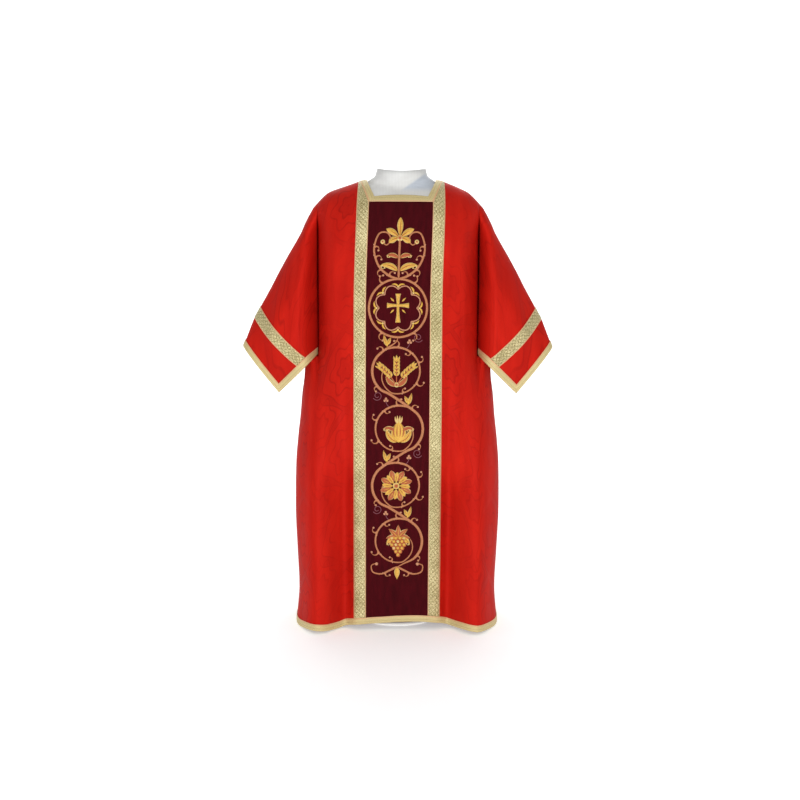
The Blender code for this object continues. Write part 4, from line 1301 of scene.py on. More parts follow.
def red_damask():
    """Silk damask, woven in one red: satin figures on a twill ground.

    The eye sees the figure only because it reflects light at another angle than the ground, so its
    darker red below is a painted reflection.
    """
    chosen = settings()
    wide = chosen.damask_width
    half_wide = 0.5 * wide
    high = chosen.damask_height
    half_high = 0.5 * high
    material, add = bare_material("Red_silk_damask_woven")
    place, u, v = cloth_uv(add)
    # Two crossing waves make a lattice of pointed ovals in half-drop.
    wave = add("Math.SINE", add("Math.MULTIPLY", v, math.pi / high))
    wave = add("Math.MULTIPLY", wave, half_wide)
    first = add("Math.PINGPONG", add("Math.ADD", u, wave), half_wide)
    second = add("Math.PINGPONG", add("Math.SUBTRACT", u, wave), half_wide)
    near = add("Math.MINIMUM", first, second)
    # Leaves swell the lattice's bands from 9 to 23 mm, three to a figure.
    leaf = add("Math.SINE", add("Math.MULTIPLY", v, 6.0 * math.pi / high))
    off_band = add("Math.SUBTRACT", near, add("Math.MULTIPLY_ADD", leaf, 0.0036, 0.0080))
    band = add("MapRange", {0: off_band, 1: 0.0012, 2: -0.0012}, **SMOOTH)
    # A rosette with six petals in the middle of each oval.
    off_u = add("Math.PINGPONG", u, half_wide)
    off_v = add("Math.PINGPONG", add("Math.SUBTRACT", v, half_high), half_high)
    beside = add("Math.SUBTRACT", half_wide, off_u)
    above = add("Math.SUBTRACT", half_high, off_v)
    flowers = []
    for du, dv in ((off_u, off_v), (beside, above)):
        tall = add("Math.MULTIPLY", dv, 0.62)
        squares = [add("Math.MULTIPLY", side, side) for side in (du, tall)]
        reach = add("Math.SQRT", add("Math.ADD", *squares))
        turn = add("Math.MULTIPLY", add("Math.ARCTAN2", tall, du), 6.0)
        lobes = add("Math.MULTIPLY_ADD", add("Math.COSINE", turn), 0.13, 0.87)
        size = add("Math.MULTIPLY", lobes, 0.30 * wide)
        flowers.append(add("Math.DIVIDE", reach, size))
    ring = add("Math.MINIMUM", *flowers)
    layers = add("Math.SINE", add("Math.MULTIPLY", ring, 6.0))
    inside = add("MapRange", {0: ring, 1: 1.12, 2: 1.02}, **SMOOTH)
    petals = add("MapRange", {0: layers, 1: -0.2, 2: 0.2}, **SMOOTH)
    figure = add("Math.MAXIMUM", band, add("Math.MULTIPLY", petals, inside))
    # Painted reflection: the bound edge of each figure is painted as a darker line.
    line = add("MapRange", {0: add("Math.ABSOLUTE", off_band), 1: 0.0026, 2: 0.0008}, **SMOOTH)
    petal_line = add("MapRange", {0: add("Math.ABSOLUTE", layers), 1: 0.55, 2: 0.15}, **SMOOTH)
    edges = add("Math.MAXIMUM", line, add("Math.MULTIPLY", petal_line, inside))
    # Long soft streaks of uneven dye and press, 30 mm wide and 150 mm long.
    streaks = add("Mapping", {"Vector": place, "Scale": (33.0, 6.6, 1.0)})
    streak = add("TexNoise", {"Vector": streaks, "Scale": 1.0, "Detail": 2.0})
    ground = add("Mix", {0: streak, 6: chosen.damask_shade, 7: chosen.damask_red}, **COLOURS)
    # The painted figure is fainter in random places. This stands in for the way it comes and goes as
    # the cloth turns to the light.
    turning = add("TexNoise", {"Vector": streaks, "Scale": 0.45})
    fade = add("MapRange", {0: turning, 1: 0.42, 2: 0.62, 3: 0.06, 4: 0.42})
    # The figure's painted reflection: its outlines in full, and its fill at 0.45.
    drawn = add("Math.MAXIMUM", edges, add("Math.MULTIPLY", figure, 0.45))
    drawn = add("Math.MULTIPLY", drawn, fade)
    # Weft ribs of 0.5 mm are too fine to show, so they are drawn 1.6 mm apart and 8 mm long.
    ribs = add("Mapping", {"Vector": place, "Scale": (120.0, 625.0, 1.0)})
    rib = add("TexNoise", {"Vector": ribs, "Scale": 1.0, "Detail": 1.0})
    relief = add("Math.MULTIPLY_ADD", figure, 0.35, rib)
    return finished(material, add, {
        "Base Color": add("Mix", {0: drawn, 6: ground, 7: chosen.damask_figure_reflection}, **COLOURS),
        "Roughness": add("MapRange", {0: figure, 3: 0.64, 4: 0.56}),
        "IOR": 1.5, "Specular IOR Level": 0.05, "Metallic": 0.15,
        "Normal": add("Bump", {"Strength": 0.16, "Distance": 0.0006, "Height": relief}),
    })


def claret_velvet():
    """Silk velvet, woven with a cut pile: dark face on, with a red bloom where it turns away."""
    chosen = settings()
    material, add = bare_material("Claret_silk_velvet_cut_pile")
    place = add("UVMap", uv_map="Metres")
    # Pile brushed in soft upright patches, about 12 mm by 60 mm.
    patches = add("Mapping", {"Vector": place, "Scale": (80.0, 17.0, 1.0)})
    lay = add("TexNoise", {"Vector": patches, "Scale": 1.0, "Detail": 3.0, "Roughness": 0.6})
    # Tufts of 0.3 mm are too fine to show, so they are drawn 1.2 mm across.
    tuft = add("TexNoise", {"Vector": place, "Scale": 830.0, "Detail": 1.0})
    pile = add("Math.MULTIPLY_ADD", tuft, 0.4, add("Math.MULTIPLY", lay, 0.6))
    share = add("MapRange", {0: pile, 1: 0.34, 2: 0.66})
    return finished(material, add, {
        "Base Color": add("Mix", {0: share, 6: chosen.velvet_shade, 7: chosen.velvet_colour},
                          **COLOURS),
        "IOR": 1.45, "Roughness": 0.88, "Specular IOR Level": 0.08, "Sheen Weight": 0.05,
        "Sheen Roughness": 0.35, "Sheen Tint": linear("#C83A44"),
        "Normal": add("Bump", {"Strength": 0.25, "Distance": 0.0008, "Height": pile}),
    })


def gold_galloon():
    """Galloon, woven of silk and gilt thread: pale lozenges on dull gold between salmon edges."""
    chosen = settings()
    material, add = bare_material("Gilt_galloon_woven")
    place, u, v = cloth_uv(add)
    across = add("SeparateXYZ", add("UVMap", uv_map="Across"))
    # Lozenges 5 mm wide and 6 mm long, drawn 11 mm by 14 mm, with a small one inside each.
    slant = add("Math.MULTIPLY", v, 0.78)
    one = add("Math.PINGPONG", add("Math.ADD", u, slant), 0.0055)
    two = add("Math.PINGPONG", add("Math.SUBTRACT", u, slant), 0.0055)
    inner = add("Math.MINIMUM", one, two)
    lozenge = add("MapRange", {0: inner, 1: 0.0008, 2: 0.0018}, **SMOOTH)
    core = add("MapRange", {0: inner, 1: 0.0036, 2: 0.0044}, **SMOOTH)
    face = add("Math.SUBTRACT", lozenge, add("Math.MULTIPLY", core, 0.5))
    # Painted glints in spots of 4 mm and painted reflections in patches of 60 mm make the gilt
    # uneven.
    spots = add("TexNoise", {"Vector": place, "Scale": 270.0, "Detail": 2.0})
    patches = add("TexNoise", {"Vector": place, "Scale": 17.0, "Detail": 1.0})
    painted_glints = add("Math.MULTIPLY_ADD", patches, 0.8, -1.42)
    painted_glints = add("Math.MULTIPLY_ADD", spots, 2.4, painted_glints)
    # Weft ribs of 0.6 mm, drawn 1.5 mm apart.
    rib = add("Math.SINE", add("Math.MULTIPLY", v, 4200.0))
    shade = add("Math.MULTIPLY_ADD", rib, 0.08, add("Math.MULTIPLY", face, 0.42))
    # The painted glints and reflections lighten and darken the gilt's tone.
    shade = add("Math.ADD", shade, painted_glints)
    ground = add("Mix", {0: shade, 6: chosen.galloon_shade, 7: chosen.galloon_gold},
                 clamp_factor=True, **COLOURS)
    # The salmon edges take up a fourteenth of the width each.
    side = add("Math.PINGPONG", across, 0.5)
    edge = add("MapRange", {0: side, 1: 0.085, 2: 0.062}, **SMOOTH)
    raised = add("Math.MULTIPLY_ADD", rib, 0.3, add("Math.ADD", face, edge))
    return finished(material, add, {
        "Base Color": add("Mix", {0: edge, 6: ground, 7: chosen.edge_line}, **COLOURS),
        "IOR": 1.5, "Metallic": 0.25, "Roughness": 0.48, "Sheen Weight": 0.15,
        "Sheen Roughness": 0.4, "Sheen Tint": linear(GILT_SHEEN),
        "Normal": add("Bump", {"Strength": 0.5, "Distance": 0.0006, "Height": raised}),
    })


def gilt_braid():
    """Braid, woven flat and folded over the raw edge: a twill of dull gold with sewn lines."""
    chosen = settings()
    material, add = bare_material("Gilt_braid_woven")
    _, u, v = cloth_uv(add)
    across = add("SeparateXYZ", add("UVMap", uv_map="Across"))
    # Chevrons of the twill, 3 mm apart along the braid.
    bent = add("Math.MULTIPLY", add("Math.PINGPONG", u, 0.0036), 0.9)
    twill = add("Math.PINGPONG", add("Math.ADD", v, bent), 0.0015)
    line = add("MapRange", {0: twill, 1: 0.0003, 2: 0.0010}, **SMOOTH)
    ground = add("Mix", {0: line, 6: chosen.braid_shade, 7: chosen.braid_gold}, **COLOURS)
    # Two sewn lines with stitches 3 mm long sink into the braid beside its edges.
    seam = add("Math.PINGPONG", add("Math.ADD", across, 0.08), 0.5)
    seam = add("Math.ABSOLUTE", add("Math.SUBTRACT", seam, 0.25))
    sunk = add("MapRange", {0: seam, 1: 0.045, 2: 0.012}, **SMOOTH)
    dash = add("MapRange", {0: add("Math.PINGPONG", v, 0.0016), 1: 0.0002, 2: 0.0006})
    sewn = add("Math.MULTIPLY", add("Math.MULTIPLY", sunk, dash), 0.55)
    stitched = add("Mix", {0: sewn, 6: ground, 7: chosen.stitch}, **COLOURS)
    rim = add("MapRange", {0: across, 1: 0.200, 2: 0.150}, **SMOOTH)
    raised = add("Math.SUBTRACT", add("Math.ADD", line, rim), add("Math.MULTIPLY", sunk, 1.5))
    return finished(material, add, {
        "Base Color": add("Mix", {0: rim, 6: stitched, 7: chosen.edge_line}, **COLOURS),
        "IOR": 1.5, "Metallic": 0.2, "Roughness": 0.52, "Sheen Weight": 0.12,
        "Sheen Roughness": 0.4, "Sheen Tint": linear(GILT_SHEEN),
        "Normal": add("Bump", {"Strength": 0.45, "Distance": 0.0006, "Height": raised}),
    })


def embroidery_thread(name, bright, shade, metal):
    """Satin stitch in silk or gilt thread, with painted highlights and painted edge shade."""
    material, add = bare_material(name)
    place, u, v = cloth_uv(add)
    across = add("SeparateXYZ", add("UVMap", uv_map="Across"))
    # Threads of 0.4 mm, drawn 1.5 mm apart, slanted across the stroke; each is painted with a
    # highlight.
    slanted = add("Math.MULTIPLY_ADD", v, 0.5, u)
    thread = add("Math.SINE", add("Math.MULTIPLY", slanted, 4190.0))
    thread = add("Math.MULTIPLY_ADD", thread, 0.5, 0.5)
    # Dye varies from thread to thread in spots of 4 mm, and so does the painted highlight.
    spots = add("Mapping", {"Vector": place, "Scale": (260.0, 260.0, 1.0)})
    uneven = add("TexNoise", {"Vector": spots, "Scale": 1.0, "Detail": 1.0})
    share = add("Math.MULTIPLY_ADD", thread, 0.45, add("Math.MULTIPLY", uneven, 0.7))
    # Painted shade: each stroke is darker where it dips into the velvet.
    side = add("Math.PINGPONG", across, 0.5)
    edge = add("MapRange", {0: side, 1: 0.02, 2: 0.16, 3: 0.35, 4: 1.0})
    share = add("Math.MULTIPLY", share, edge)
    return finished(material, add, {
        "Base Color": add("Mix", {0: share, 6: shade, 7: bright}, clamp_factor=True, **COLOURS),
        "IOR": 1.5, "Metallic": metal, "Roughness": 0.42, "Sheen Weight": 0.15,
        "Sheen Roughness": 0.4, "Sheen Tint": bright,
        "Normal": add("Bump", {"Strength": 0.5, "Distance": 0.0005, "Height": thread}),
    })


# The direction across the edge of the painted fold shade on the jersey, and where that edge lies
# along it.
JERSEY_FOLD_ACROSS = (0.575, 0.0, -0.818)
JERSEY_FOLD_AT = (-0.9790, -0.9730)


def white_jersey():
    """Cotton jersey, knitted and stretched over the form: matt, with fine upright ribs."""
    chosen = settings()
    material, add = bare_material("White_cotton_jersey_knitted")
    place = add("TexCoord", out=3)
    # Knit ribs of 0.8 mm, drawn 4 mm apart.
    rib = add("TexWave", {"Vector": place, "Scale": 80.0, "Distortion": 1.2, "Detail": 1.0},
              wave_type="BANDS", bands_direction="X")
    cloud = add("TexNoise", {"Vector": place, "Scale": 22.0, "Detail": 2.0})
    tone = add("MapRange", {0: add("Math.MULTIPLY_ADD", rib, 0.25, cloud), 1: 0.3, 2: 0.9})
    plain = add("Mix", {0: tone, 6: chosen.jersey_shade, 7: chosen.jersey_white}, **COLOURS)
    # In front, past a slanting line on the wearer's left and above the neck's seam, the cover is
    # painted a darker, cooler white: painted shade of the fold there.
    past_fold = add("VectorMath.DOT_PRODUCT", place, JERSEY_FOLD_ACROSS, out=1)
    painted_fold_shade = add("MapRange", {0: past_fold, 1: JERSEY_FOLD_AT[0], 2: JERSEY_FOLD_AT[1]})
    in_front = add("MapRange", {0: add("SeparateXYZ", place, out=1), 1: -0.005, 2: -0.025})
    above = add("MapRange", {0: add("SeparateXYZ", place, out=2), 1: 1.194, 2: 1.207})
    share = add("Math.MULTIPLY", add("Math.MULTIPLY", painted_fold_shade, in_front), above)
    return finished(material, add, {
        # The cooler grey is the painted fold shade.
        "Base Color": add("Mix", {0: share, 6: plain, 7: linear("#BAC0C8")}, **COLOURS),
        "IOR": 1.5, "Roughness": 0.85, "Specular IOR Level": 0.3, "Sheen Weight": 0.2,
        "Sheen Roughness": 0.5,
        "Normal": add("Bump", {"Strength": 0.2, "Distance": 0.0006, "Height": rib}),
    })


def painted_steel():
    """Steel, powder-coated white: a soft gloss with the coat's slight orange peel."""
    material, add = bare_material("White_steel_powder_coated")
    # Orange peel of about 2 mm.
    peel = add("TexNoise", {"Vector": add("TexCoord", out=3), "Scale": 420.0, "Detail": 1.0})
    return finished(material, add, {
        "Base Color": add("Mix", {0: peel, 6: linear("#E6E5E1"), 7: linear("#F2F1EE")}, **COLOURS),
        "IOR": 1.5, "Roughness": 0.42, "Coat Weight": 0.15, "Coat Roughness": 0.2,
        "Normal": add("Bump", {"Strength": 0.12, "Distance": 0.0005, "Height": peel}),
    })


def brushed_steel():
    """Steel tube, brushed along its length: grey metal with fine upright lines."""
    material, add = bare_material("Steel_tube_brushed")
    # Brush lines of 0.1 mm, drawn 1 mm apart.
    place = add("Mapping", {"Vector": add("TexCoord", out=3), "Scale": (900.0, 900.0, 6.0)})
    lines = add("TexNoise", {"Vector": place, "Scale": 1.0, "Detail": 2.0})
    return finished(material, add, {
        "Base Color": add("Mix", {0: lines, 6: linear("#8E8F91"), 7: linear("#B9BABC")}, **COLOURS),
        "Roughness": add("MapRange", {0: lines, 3: 0.26, 4: 0.40}),
        "Metallic": 1.0, "Anisotropic": 0.5,
    })


def studio_floor():
    """A seamless matt sheet of white acrylic, softly lit from below."""
    material, add = bare_material("White_acrylic_sheet_lit_from_below")
    # Clouds of about 30 mm.
    grain = add("TexNoise", {"Vector": add("TexCoord", out=3), "Scale": 30.0, "Detail": 2.0})
    return finished(material, add, {
        "Base Color": add("Mix", {0: grain, 6: linear("#F4F4F3"), 7: linear("#F8F8F7")}, **COLOURS),
        "Roughness": 0.9, "Specular IOR Level": 0.1, "Emission Color": linear("#FFFFFF"),
        "Emission Strength": 0.30,
    })


# The threads' materials, their light and dark tones (which also give the painted highlights and
# shade), and how metallic they are.
THREADS = {
    "copper": ("Copper_silk_satin_stitch", "#C98453", "#8A4626", 0.1),
    "pale": ("Pale_gilt_satin_stitch", "#EBCF86", "#B08A48", 0.2),
    "gold": ("Gold_gilt_satin_stitch", "#EDBE4C", "#A66E22", 0.2),
    "orange": ("Orange_silk_satin_stitch", "#C4622A", "#7C3216", 0.05),
    "rose": ("Rose_silk_satin_stitch", "#D69A72", "#97583A", 0.1),
    "mauve": ("Mauve_silk_stem_stitch", "#8A4650", "#52222C", 0.0),
}


# ---------------------------------------------------------------- what a user may change

def colour_property(name, description, code):
    """A colour that a user may change, from its sRGB hex value."""
    return bpy.props.FloatVectorProperty(
        name=name, description=description, default=linear(code), subtype="COLOR", size=4,
        min=0.0, max=1.0,
    )


class DalmaticCloth(bpy.types.PropertyGroup):
    """Sizes and colours of the cloth, braid and embroidery."""

    crease_depth: bpy.props.FloatProperty(
        name="Crease depth", description="Share of the creases' full depth",
        default=1.0, min=0.0, max=1.5, subtype="FACTOR",
    )
    embroidery_height: bpy.props.FloatProperty(
        name="Embroidery height",
        description="Share of the embroidery's full height above the velvet",
        default=1.0, min=0.3, max=1.5, subtype="FACTOR",
    )
    damask_width: bpy.props.FloatProperty(
        name="Damask width", description="Width of one figure of the damask",
        default=0.140, min=0.02, max=0.4, subtype="DISTANCE", unit="LENGTH",
    )
    damask_height: bpy.props.FloatProperty(
        name="Damask height", description="Height of one figure of the damask",
        default=0.220, min=0.03, max=0.6, subtype="DISTANCE", unit="LENGTH",
    )
    damask_red: colour_property("Damask red", "Light tone of the damask's ground", "#CC2214")
    damask_shade: colour_property("Damask shade", "Dark tone of the damask's ground", "#AA140D")
    # The figures' darker red is a painted reflection, since the damask is one red.
    damask_figure_reflection: colour_property("Damask figure", "Tone of its figures' outlines", "#820D0A")
    velvet_colour: colour_property("Velvet", "Light tone of the velvet", "#4A0810")
    velvet_shade: colour_property("Velvet shade", "Dark tone of the velvet", "#36050A")
    galloon_gold: colour_property("Galloon", "Light tone of the galloon's lozenges", "#E8DAA6")
    galloon_shade: colour_property("Galloon shade", "Dark tone between the lozenges", "#84743F")
    braid_gold: colour_property("Braid", "Light tone of the edge braid", "#DECC94")
    braid_shade: colour_property("Braid shade", "Dark tone of the edge braid", "#B39E66")
    stitch: colour_property("Sewn line", "Colour of the braid's sewn lines", "#7E6A3C")
    edge_line: colour_property("Edge line", "Salmon edge of braid and galloon", "#DDB283")
    jersey_white: colour_property("Jersey", "Light tone of the form's jersey", "#DEDEDB")
    jersey_shade: colour_property("Jersey shade", "Dark tone of the form's jersey", "#CBCAC6")


# ---------------------------------------------------------------- making the pieces

MADE = {}                 # grids, normals and flat maps of the panels and sleeves, once made


def cut_size(grid):
    """Width and length of the cloth that a grid stands for, laid flat."""
    rows = {}
    columns = {}
    for row, column in sorted(grid):
        rows.setdefault(row, []).append(grid[row, column])
        columns.setdefault(column, []).append(grid[row, column])
    return [max(path_length(points) for points in lines.values()) for lines in (rows, columns)]


def dress(node, grid):
    """Hide the solid that a piece of cloth takes the place of, and work out the size it was cut to.
    """
    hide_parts(node)
    width, length = cut_size(grid)


def make_panel(side, name, material):
    """One body panel from the shoulders to the hem."""
    grid = panel_grid(side)
    low = ROW_NUMBERS["hem"]
    places = [column.x for column in FINE_COLUMNS]
    along = 0.0
    for number in range(LAST + 1, LAST + SIDE_STEPS + 1):
        along += (grid[low, number] - grid[low, number - 1]).length
        places.append(SEAM_X + along)
    flat = flat_places(grid, places)
    outward = Vector((0.0, side, OUTWARD_TILT))
    piece, normals = grid_object(f"{name}_panel_damask", grid, flat, None, material, outward, SHELL)
    dress(f"{name}_panel", grid)
    MADE[f"{name}_panel"] = (grid, normals, flat)


def make_sleeve(hand, name, material):
    """One sleeve, open underneath."""
    grid, starts = sleeve_grid(hand)
    flat = {}
    for column in sorted({column for _, column in grid}):
        flat[0, column] = (grid[0, column].x, 0.0)
        for side in (FRONT, BACK):
            down = 0.0
            for place in range(1, SLEEVE_EDGE + 1):
                point = grid[side * place, column]
                down += (point - grid[side * (place - 1), column]).length
                flat[side * place, column] = (point.x, -side * down)
    outward = Vector((0.0, FRONT, 0.0))
    piece, normals = grid_object(
        f"sleeve_{name}_damask", grid, flat, None, material, outward, SHELL
    )
    dress(f"sleeve_{name}", grid)
    MADE[f"sleeve_{name}"] = (grid, normals, flat, starts)


def made(name):
    """The grid of a piece that another operator has made."""
    if name not in MADE:
        raise RuntimeError(f"{name} isn't made yet: run the panels and sleeves first")
    return MADE[name]


def make_strip(name, panel, rows, columns, material, node, own_map=False):
    """A trim on a panel or sleeve, in place of its solid."""
    piece, strip = strip_object(name, panel, rows, columns, material, own_map)
    dress(node, strip)


def make_binding(name, stitches, closed, material, node):
    """A strip folded over an edge, in place of its solid."""
    piece, grid = binding_object(name, stitches, closed, material)
    dress(node, grid)


def rows_between(first, last):
    """Row numbers from one named row to another."""
    return range(ROW_NUMBERS[first], ROW_NUMBERS[last] + 1)


def neck_stitches(side, panel):
    """Places along one half of the neck: down one side, across, and up the other."""
    grid, normals, _ = panel
    edge_row = ROW_NUMBERS["front_neck" if side == FRONT else "back_neck"]
    inner_row = ROW_NUMBERS["front_binding" if side == FRONT else "front_neck"]
    edge = COLUMN_NUMBERS["neck_edge"]
    inner = COLUMN_NUMBERS["velvet_edge"]
    down = [((row, -edge), (row, -inner)) for row in range(edge_row + 1)]
    down += [((edge_row, -edge), (row, -inner)) for row in range(edge_row + 1, inner_row + 1)]
    down += [((edge_row, -edge), (inner_row, column)) for column in range(1 - inner, -edge)]
    across = [((edge_row, column), (inner_row, column)) for column in range(-edge, edge + 1)]
    up = [((row, -column), (beside, -off)) for (row, column), (beside, off) in reversed(down)]
    return stitches_along(grid, normals, down + across + up)


def edge_stitches(panel, edge, inner, columns):
    """Places along a panel's edge, from the names of its row and of the binding's other row."""
    grid, normals, _ = panel
    pairs = [((ROW_NUMBERS[edge], column), (ROW_NUMBERS[inner], column)) for column in columns]
    return stitches_along(grid, normals, pairs)


def sleeve_edges(name):
    """Places along a sleeve's free edges: its lower front edge, its cuff, its lower back edge."""
    grid, normals, _, starts = made(f"sleeve_{name}")
    last = max(column for _, column in grid)
    inner = starts["cuff"]
    halves = []
    for side in (FRONT, BACK):
        edge = side * SLEEVE_EDGE
        pairs = [((edge, column), (side * SLEEVE_STEPS, column)) for column in range(inner + 1)]
        pairs += [((edge, last), (side * place, inner))
                  for place in (SLEEVE_STEPS - 1, SLEEVE_STEPS - 2)]
        pairs += [((side * place, last), (side * min(place, SLEEVE_STEPS - 2), inner))
                  for place in range(SLEEVE_EDGE - 1, 0, -1)]
        halves.append(shortened(stitches_along(grid, normals, pairs), ARMPIT_START))
    top = stitches_along(grid, normals, [((0, last), (0, inner))])
    return halves[0] + top + halves[1][::-1]


class DALMATIC_OT_panels(bpy.types.Operator):
    """Make the front and back body panels of red damask"""

    bl_idname = "dalmatic.panels"
    bl_label = "Body panels"

    def execute(self, context):
        material = red_damask()
        for side, name in SIDES:
            make_panel(side, name, material)
        return {"FINISHED"}


class DALMATIC_OT_sleeves(bpy.types.Operator):
    """Make both sleeves of red damask with their sewn-on bands"""

    bl_idname = "dalmatic.sleeves"
    bl_label = "Sleeves"

    def execute(self, context):
        material = bpy.data.materials["Red_silk_damask_woven"]
        galloon = gold_galloon()
        for hand, name in HANDS:
            make_sleeve(hand, name, material)
            *sleeve, starts = made(f"sleeve_{name}")
            make_strip(
                f"sleeve_band_{name}_galloon", sleeve, range(-SLEEVE_STEPS, SLEEVE_STEPS + 1),
                range(starts["band"], starts["lower"] + 1), galloon, f"sleeve_band_{name}",
                own_map=True,
            )
        return {"FINISHED"}


class DALMATIC_OT_trims(bpy.types.Operator):
    """Lay the velvet orphreys and the gold galloons on the panels"""

    bl_idname = "dalmatic.trims"
    bl_label = "Orphreys and galloons"

    def execute(self, context):
        velvet = claret_velvet()
        galloon = bpy.data.materials["Gilt_galloon_woven"]
        middle = COLUMN_NUMBERS["velvet_edge"]
        outer = COLUMN_NUMBERS["galloon_edge"]
        for side, name in SIDES:
            panel = made(f"{name}_panel")
            top = "front_binding" if side == FRONT else "front_neck"
            make_strip(
                f"orphrey_{name}_velvet", panel, rows_between(top, "hem_binding"),
                range(-middle, middle + 1), velvet, f"orphrey_{name}",
            )
            for hand, hand_name in HANDS:
                node = f"galloon_{name}_{hand_name}"
                columns = sorted(hand * number for number in range(middle, outer + 1))
                make_strip(
                    f"{node}_woven", panel, rows_between("ridge", "hem_binding"), columns,
                    galloon, node,
                )
        return {"FINISHED"}


class DALMATIC_OT_bindings(bpy.types.Operator):
    """Fold gold braid over the neck, hem and sleeves' edges, and damask over the underarms"""

    bl_idname = "dalmatic.bindings"
    bl_label = "Edge braids"

    def execute(self, context):
        braid = gilt_braid()
        damask = bpy.data.materials["Red_silk_damask_woven"]
        front = made("front_panel")
        back = made("back_panel")
        neck = neck_stitches(FRONT, front)[:-1] + neck_stitches(BACK, back)[::-1][:-1]
        make_binding("neck_braid", neck, True, braid, "neck_binding")
        reach = LAST + SIDE_STEPS
        hem = edge_stitches(front, "hem", "hem_binding", range(-reach, reach))
        hem += edge_stitches(back, "hem", "hem_binding", range(reach, -reach, -1))
        make_binding("hem_braid", hem, True, braid, "hem_binding")
        for hand, name in HANDS:
            columns = [hand * number for number in range(LAST, reach + 1)]
            near, far = (edge_stitches(panel, "underarm", "under_binding", columns)
                         for panel in (front, back))
            under = shortened(near, UNDERARM_START) + shortened(far, UNDERARM_START)[::-1][1:]
            make_binding(
                f"underarm_{name}_facing", under, False, damask, f"underarm_binding_{name}",
            )
            make_binding(
                f"sleeve_{name}_braid", sleeve_edges(name), False, braid,
                f"sleeve_binding_{name}",
            )
        return {"FINISHED"}


class DALMATIC_OT_embroidery(bpy.types.Operator):
    """Embroider the scrolling vine, the medallion and the crest on the front velvet"""

    bl_idname = "dalmatic.embroidery"
    bl_label = "Embroidery"

    def execute(self, context):
        made("front_panel")
        threads = {name: Thread() for name in THREADS}
        embroider_vine(threads)
        embroider_medallion(threads)
        embroider_ends(threads)
        for name, thread in threads.items():
            material_name, bright, shade, metal = THREADS[name]
            material = embroidery_thread(material_name, linear(bright), linear(shade), metal)
            maps = {"Metres": thread.flat, "Across": thread.across}
            faces = thread.faces
            first_quad = next(face for face in faces if len(face) == 4)
            if face_normal(thread.points, first_quad).y > 0.0:
                faces = [face[::-1] for face in faces]
            piece = mesh_object(
                f"embroidery_{name}_thread", thread.points, faces, maps, material,
                host=bpy.data.objects["orphrey_front_velvet"],
            )
        return {"FINISHED"}


class DALMATIC_OT_form(bpy.types.Operator):
    """Make the dress form in its stretched jersey"""

    bl_idname = "dalmatic.form"
    bl_label = "Dress form"

    def execute(self, context):
        rings = form_rings()
        points = [point for ring in rings for point in ring]
        faces = []
        for low in range(0, len(points) - FORM_STEPS, FORM_STEPS):
            high = low + FORM_STEPS
            for step in range(FORM_STEPS):
                after = (step + 1) % FORM_STEPS
                faces.append((low + step, high + step, high + after, low + after))
        faces.append(tuple(range(FORM_STEPS)))
        faces.append(tuple(reversed(range(len(points) - FORM_STEPS, len(points)))))
        piece = mesh_object("form_jersey", points, faces, {}, white_jersey())
        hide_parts("form_torso")
        return {"FINISHED"}


class DALMATIC_OT_stand(bpy.types.Operator):
    """Finish the stand's plate and collar in white powder coat and its pole in brushed steel"""

    bl_idname = "dalmatic.stand"
    bl_label = "Stand"

    def execute(self, context):
        painted = painted_steel()
        finishes = {"stand_base": painted, "stand_collar": painted, "stand_pole": brushed_steel()}
        for name, material in finishes.items():
            for slot in bpy.data.objects[name].material_slots:
                slot.material = material
        return {"FINISHED"}


# Soft lights: place, what they face, width, height and power.
Light = namedtuple("Light", "name place target width height power")
LIGHTS = (
    Light("Key", (0.0, -3.9, 1.2), (0.0, 0.0, 0.40), 1.0, 0.8, 68.0),
    Light("Fill", (1.9, -3.8, 1.6), (0.0, 0.0, 0.60), 2.0, 1.8, 5.0),
    Light("Sweep", (0.0, 3.2, 3.6), (0.0, 3.0, 0.0), 4.0, 1.6, 90.0),
)
DAYLIGHT_COLOUR = "#FBFCFF"
DAYLIGHT_STRENGTH = 0.56
CAMERA_PLACE = Vector((0.0, -3.5, 1.10))
CAMERA_TARGET = Vector((0.0, 0.0, 0.62135))
CAMERA_LENS = 56.8
CAMERA_SENSOR = 36.0
CAMERA_ROLL = 0.0040
CAMERA_SHIFT = 0.0030
FLOOR_HEIGHT = -0.0002    # just below the stand's underside
FLOOR_HALF = 7.0
FLOOR_FRONT = -7.0
FLOOR_BACK = 3.0
FLOOR_BEND = 2.0          # radius of the sweep up behind
FLOOR_BEND_STEPS = 12
FLOOR_WALL = 6.0


def place_in_scene(name, data, place, target, roll=0.0):
    """Add a light or camera that looks from its place at a target; returns it."""
    thing = bpy.data.objects.new(name, data)
    thing.location = place
    thing.rotation_mode = "QUATERNION"
    aim = (Vector(target) - Vector(place)).to_track_quat("-Z", "Y")
    thing.rotation_quaternion = aim @ Quaternion((0.0, 0.0, 1.0), roll)
    bpy.context.scene.collection.objects.link(thing)
    return thing


def floor_mesh():
    """The mesh of a floor that sweeps up into a wall behind."""
    profile = [(FLOOR_FRONT, FLOOR_HEIGHT), (FLOOR_BACK, FLOOR_HEIGHT)]
    for step in range(1, FLOOR_BEND_STEPS + 1):
        angle = 0.5 * math.pi * step / FLOOR_BEND_STEPS
        profile.append((FLOOR_BACK + FLOOR_BEND * math.sin(angle),
                        FLOOR_BEND * (1.0 - math.cos(angle))))
    profile.append((FLOOR_BACK + FLOOR_BEND, FLOOR_WALL))
    points = [(x, y, z) for y, z in profile for x in (-FLOOR_HALF, FLOOR_HALF)]
    faces = [(2 * i, 2 * i + 1, 2 * i + 3, 2 * i + 2) for i in range(len(profile) - 1)]
    mesh = bpy.data.meshes.new("studio_floor")
    mesh.from_pydata(points, [], faces)
    mesh.shade_smooth()
    mesh.materials.append(studio_floor())
    return mesh


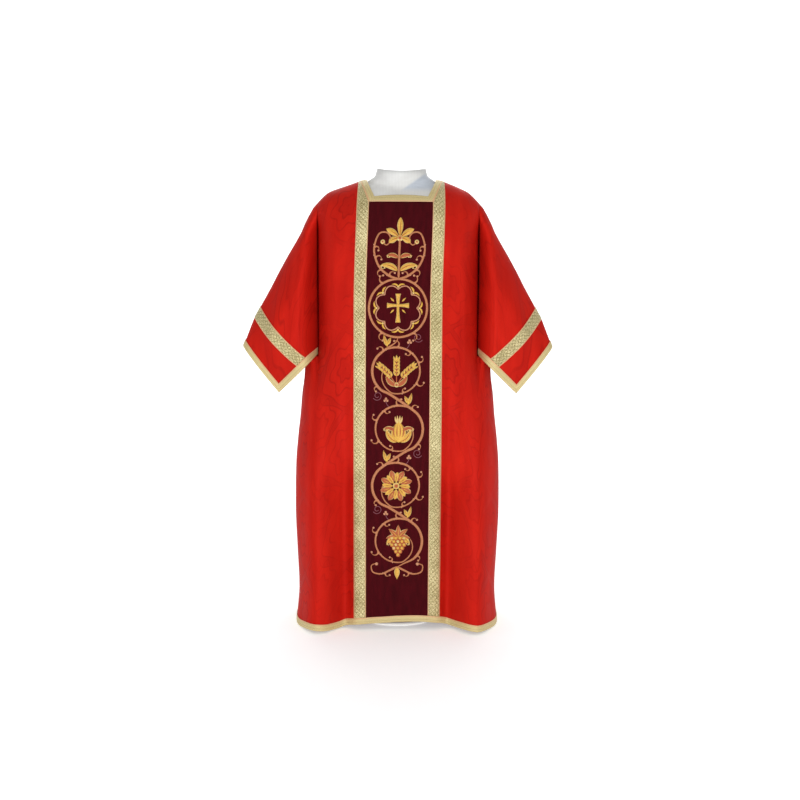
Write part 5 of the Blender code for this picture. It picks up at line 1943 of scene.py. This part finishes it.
class DALMATIC_OT_stage(bpy.types.Operator):
    """Set up the white floor, the soft lights, the world and the camera"""

    bl_idname = "dalmatic.stage"
    bl_label = "Stage"

    def execute(self, context):
        scene = context.scene
        floor = bpy.data.objects.new("studio_floor", floor_mesh())
        scene.collection.objects.link(floor)
        for light in LIGHTS:
            lamp = bpy.data.lights.new(light.name, "AREA")
            lamp.shape = "RECTANGLE"
            lamp.size = light.width
            lamp.size_y = light.height
            lamp.energy = light.power
            place_in_scene(light.name, lamp, light.place, light.target)
        world = bpy.data.worlds.new("Studio_daylight")
        world.use_nodes = True
        background = world.node_tree.nodes["Background"]
        background.inputs["Color"].default_value = linear(DAYLIGHT_COLOUR)
        background.inputs["Strength"].default_value = DAYLIGHT_STRENGTH
        scene.world = world
        scene.view_settings.view_transform = "Standard"
        camera = bpy.data.cameras.new("Camera")
        camera.lens = CAMERA_LENS
        camera.sensor_width = CAMERA_SENSOR
        camera.shift_x = CAMERA_SHIFT
        scene.camera = place_in_scene("Camera", camera, CAMERA_PLACE, CAMERA_TARGET, CAMERA_ROLL)
        return {"FINISHED"}


OPERATORS = (
    DALMATIC_OT_panels,
    DALMATIC_OT_sleeves,
    DALMATIC_OT_trims,
    DALMATIC_OT_bindings,
    DALMATIC_OT_embroidery,
    DALMATIC_OT_form,
    DALMATIC_OT_stand,
    DALMATIC_OT_stage,
)


class DALMATIC_PT_panel(bpy.types.Panel):
    """Lists the sizes, the colours and the steps that make the dalmatic"""

    bl_label = "Dalmatic"
    bl_idname = "DALMATIC_PT_panel"
    bl_space_type = "VIEW_3D"
    bl_region_type = "UI"
    bl_category = "Dalmatic"

    def draw(self, context):
        for name in DalmaticCloth.__annotations__:
            self.layout.prop(context.scene.dalmatic_cloth, name)
        for operator in OPERATORS:
            self.layout.operator(operator.bl_idname)


CLASSES = (DalmaticCloth, *OPERATORS, DALMATIC_PT_panel)


def register():
    """Register the classes and the scene's settings."""
    for item in CLASSES:
        bpy.utils.register_class(item)
    bpy.types.Scene.dalmatic_cloth = bpy.props.PointerProperty(type=DalmaticCloth)


def unregister():
    """Take the settings and the classes away again."""
    del bpy.types.Scene.dalmatic_cloth
    for item in reversed(CLASSES):
        bpy.utils.unregister_class(item)


def main():
    """Make every piece in order."""
    register()
    for operator in OPERATORS:
        group, name = operator.bl_idname.split(".")
        getattr(getattr(bpy.ops, group), name)()


if __name__ == "__main__":
    main()
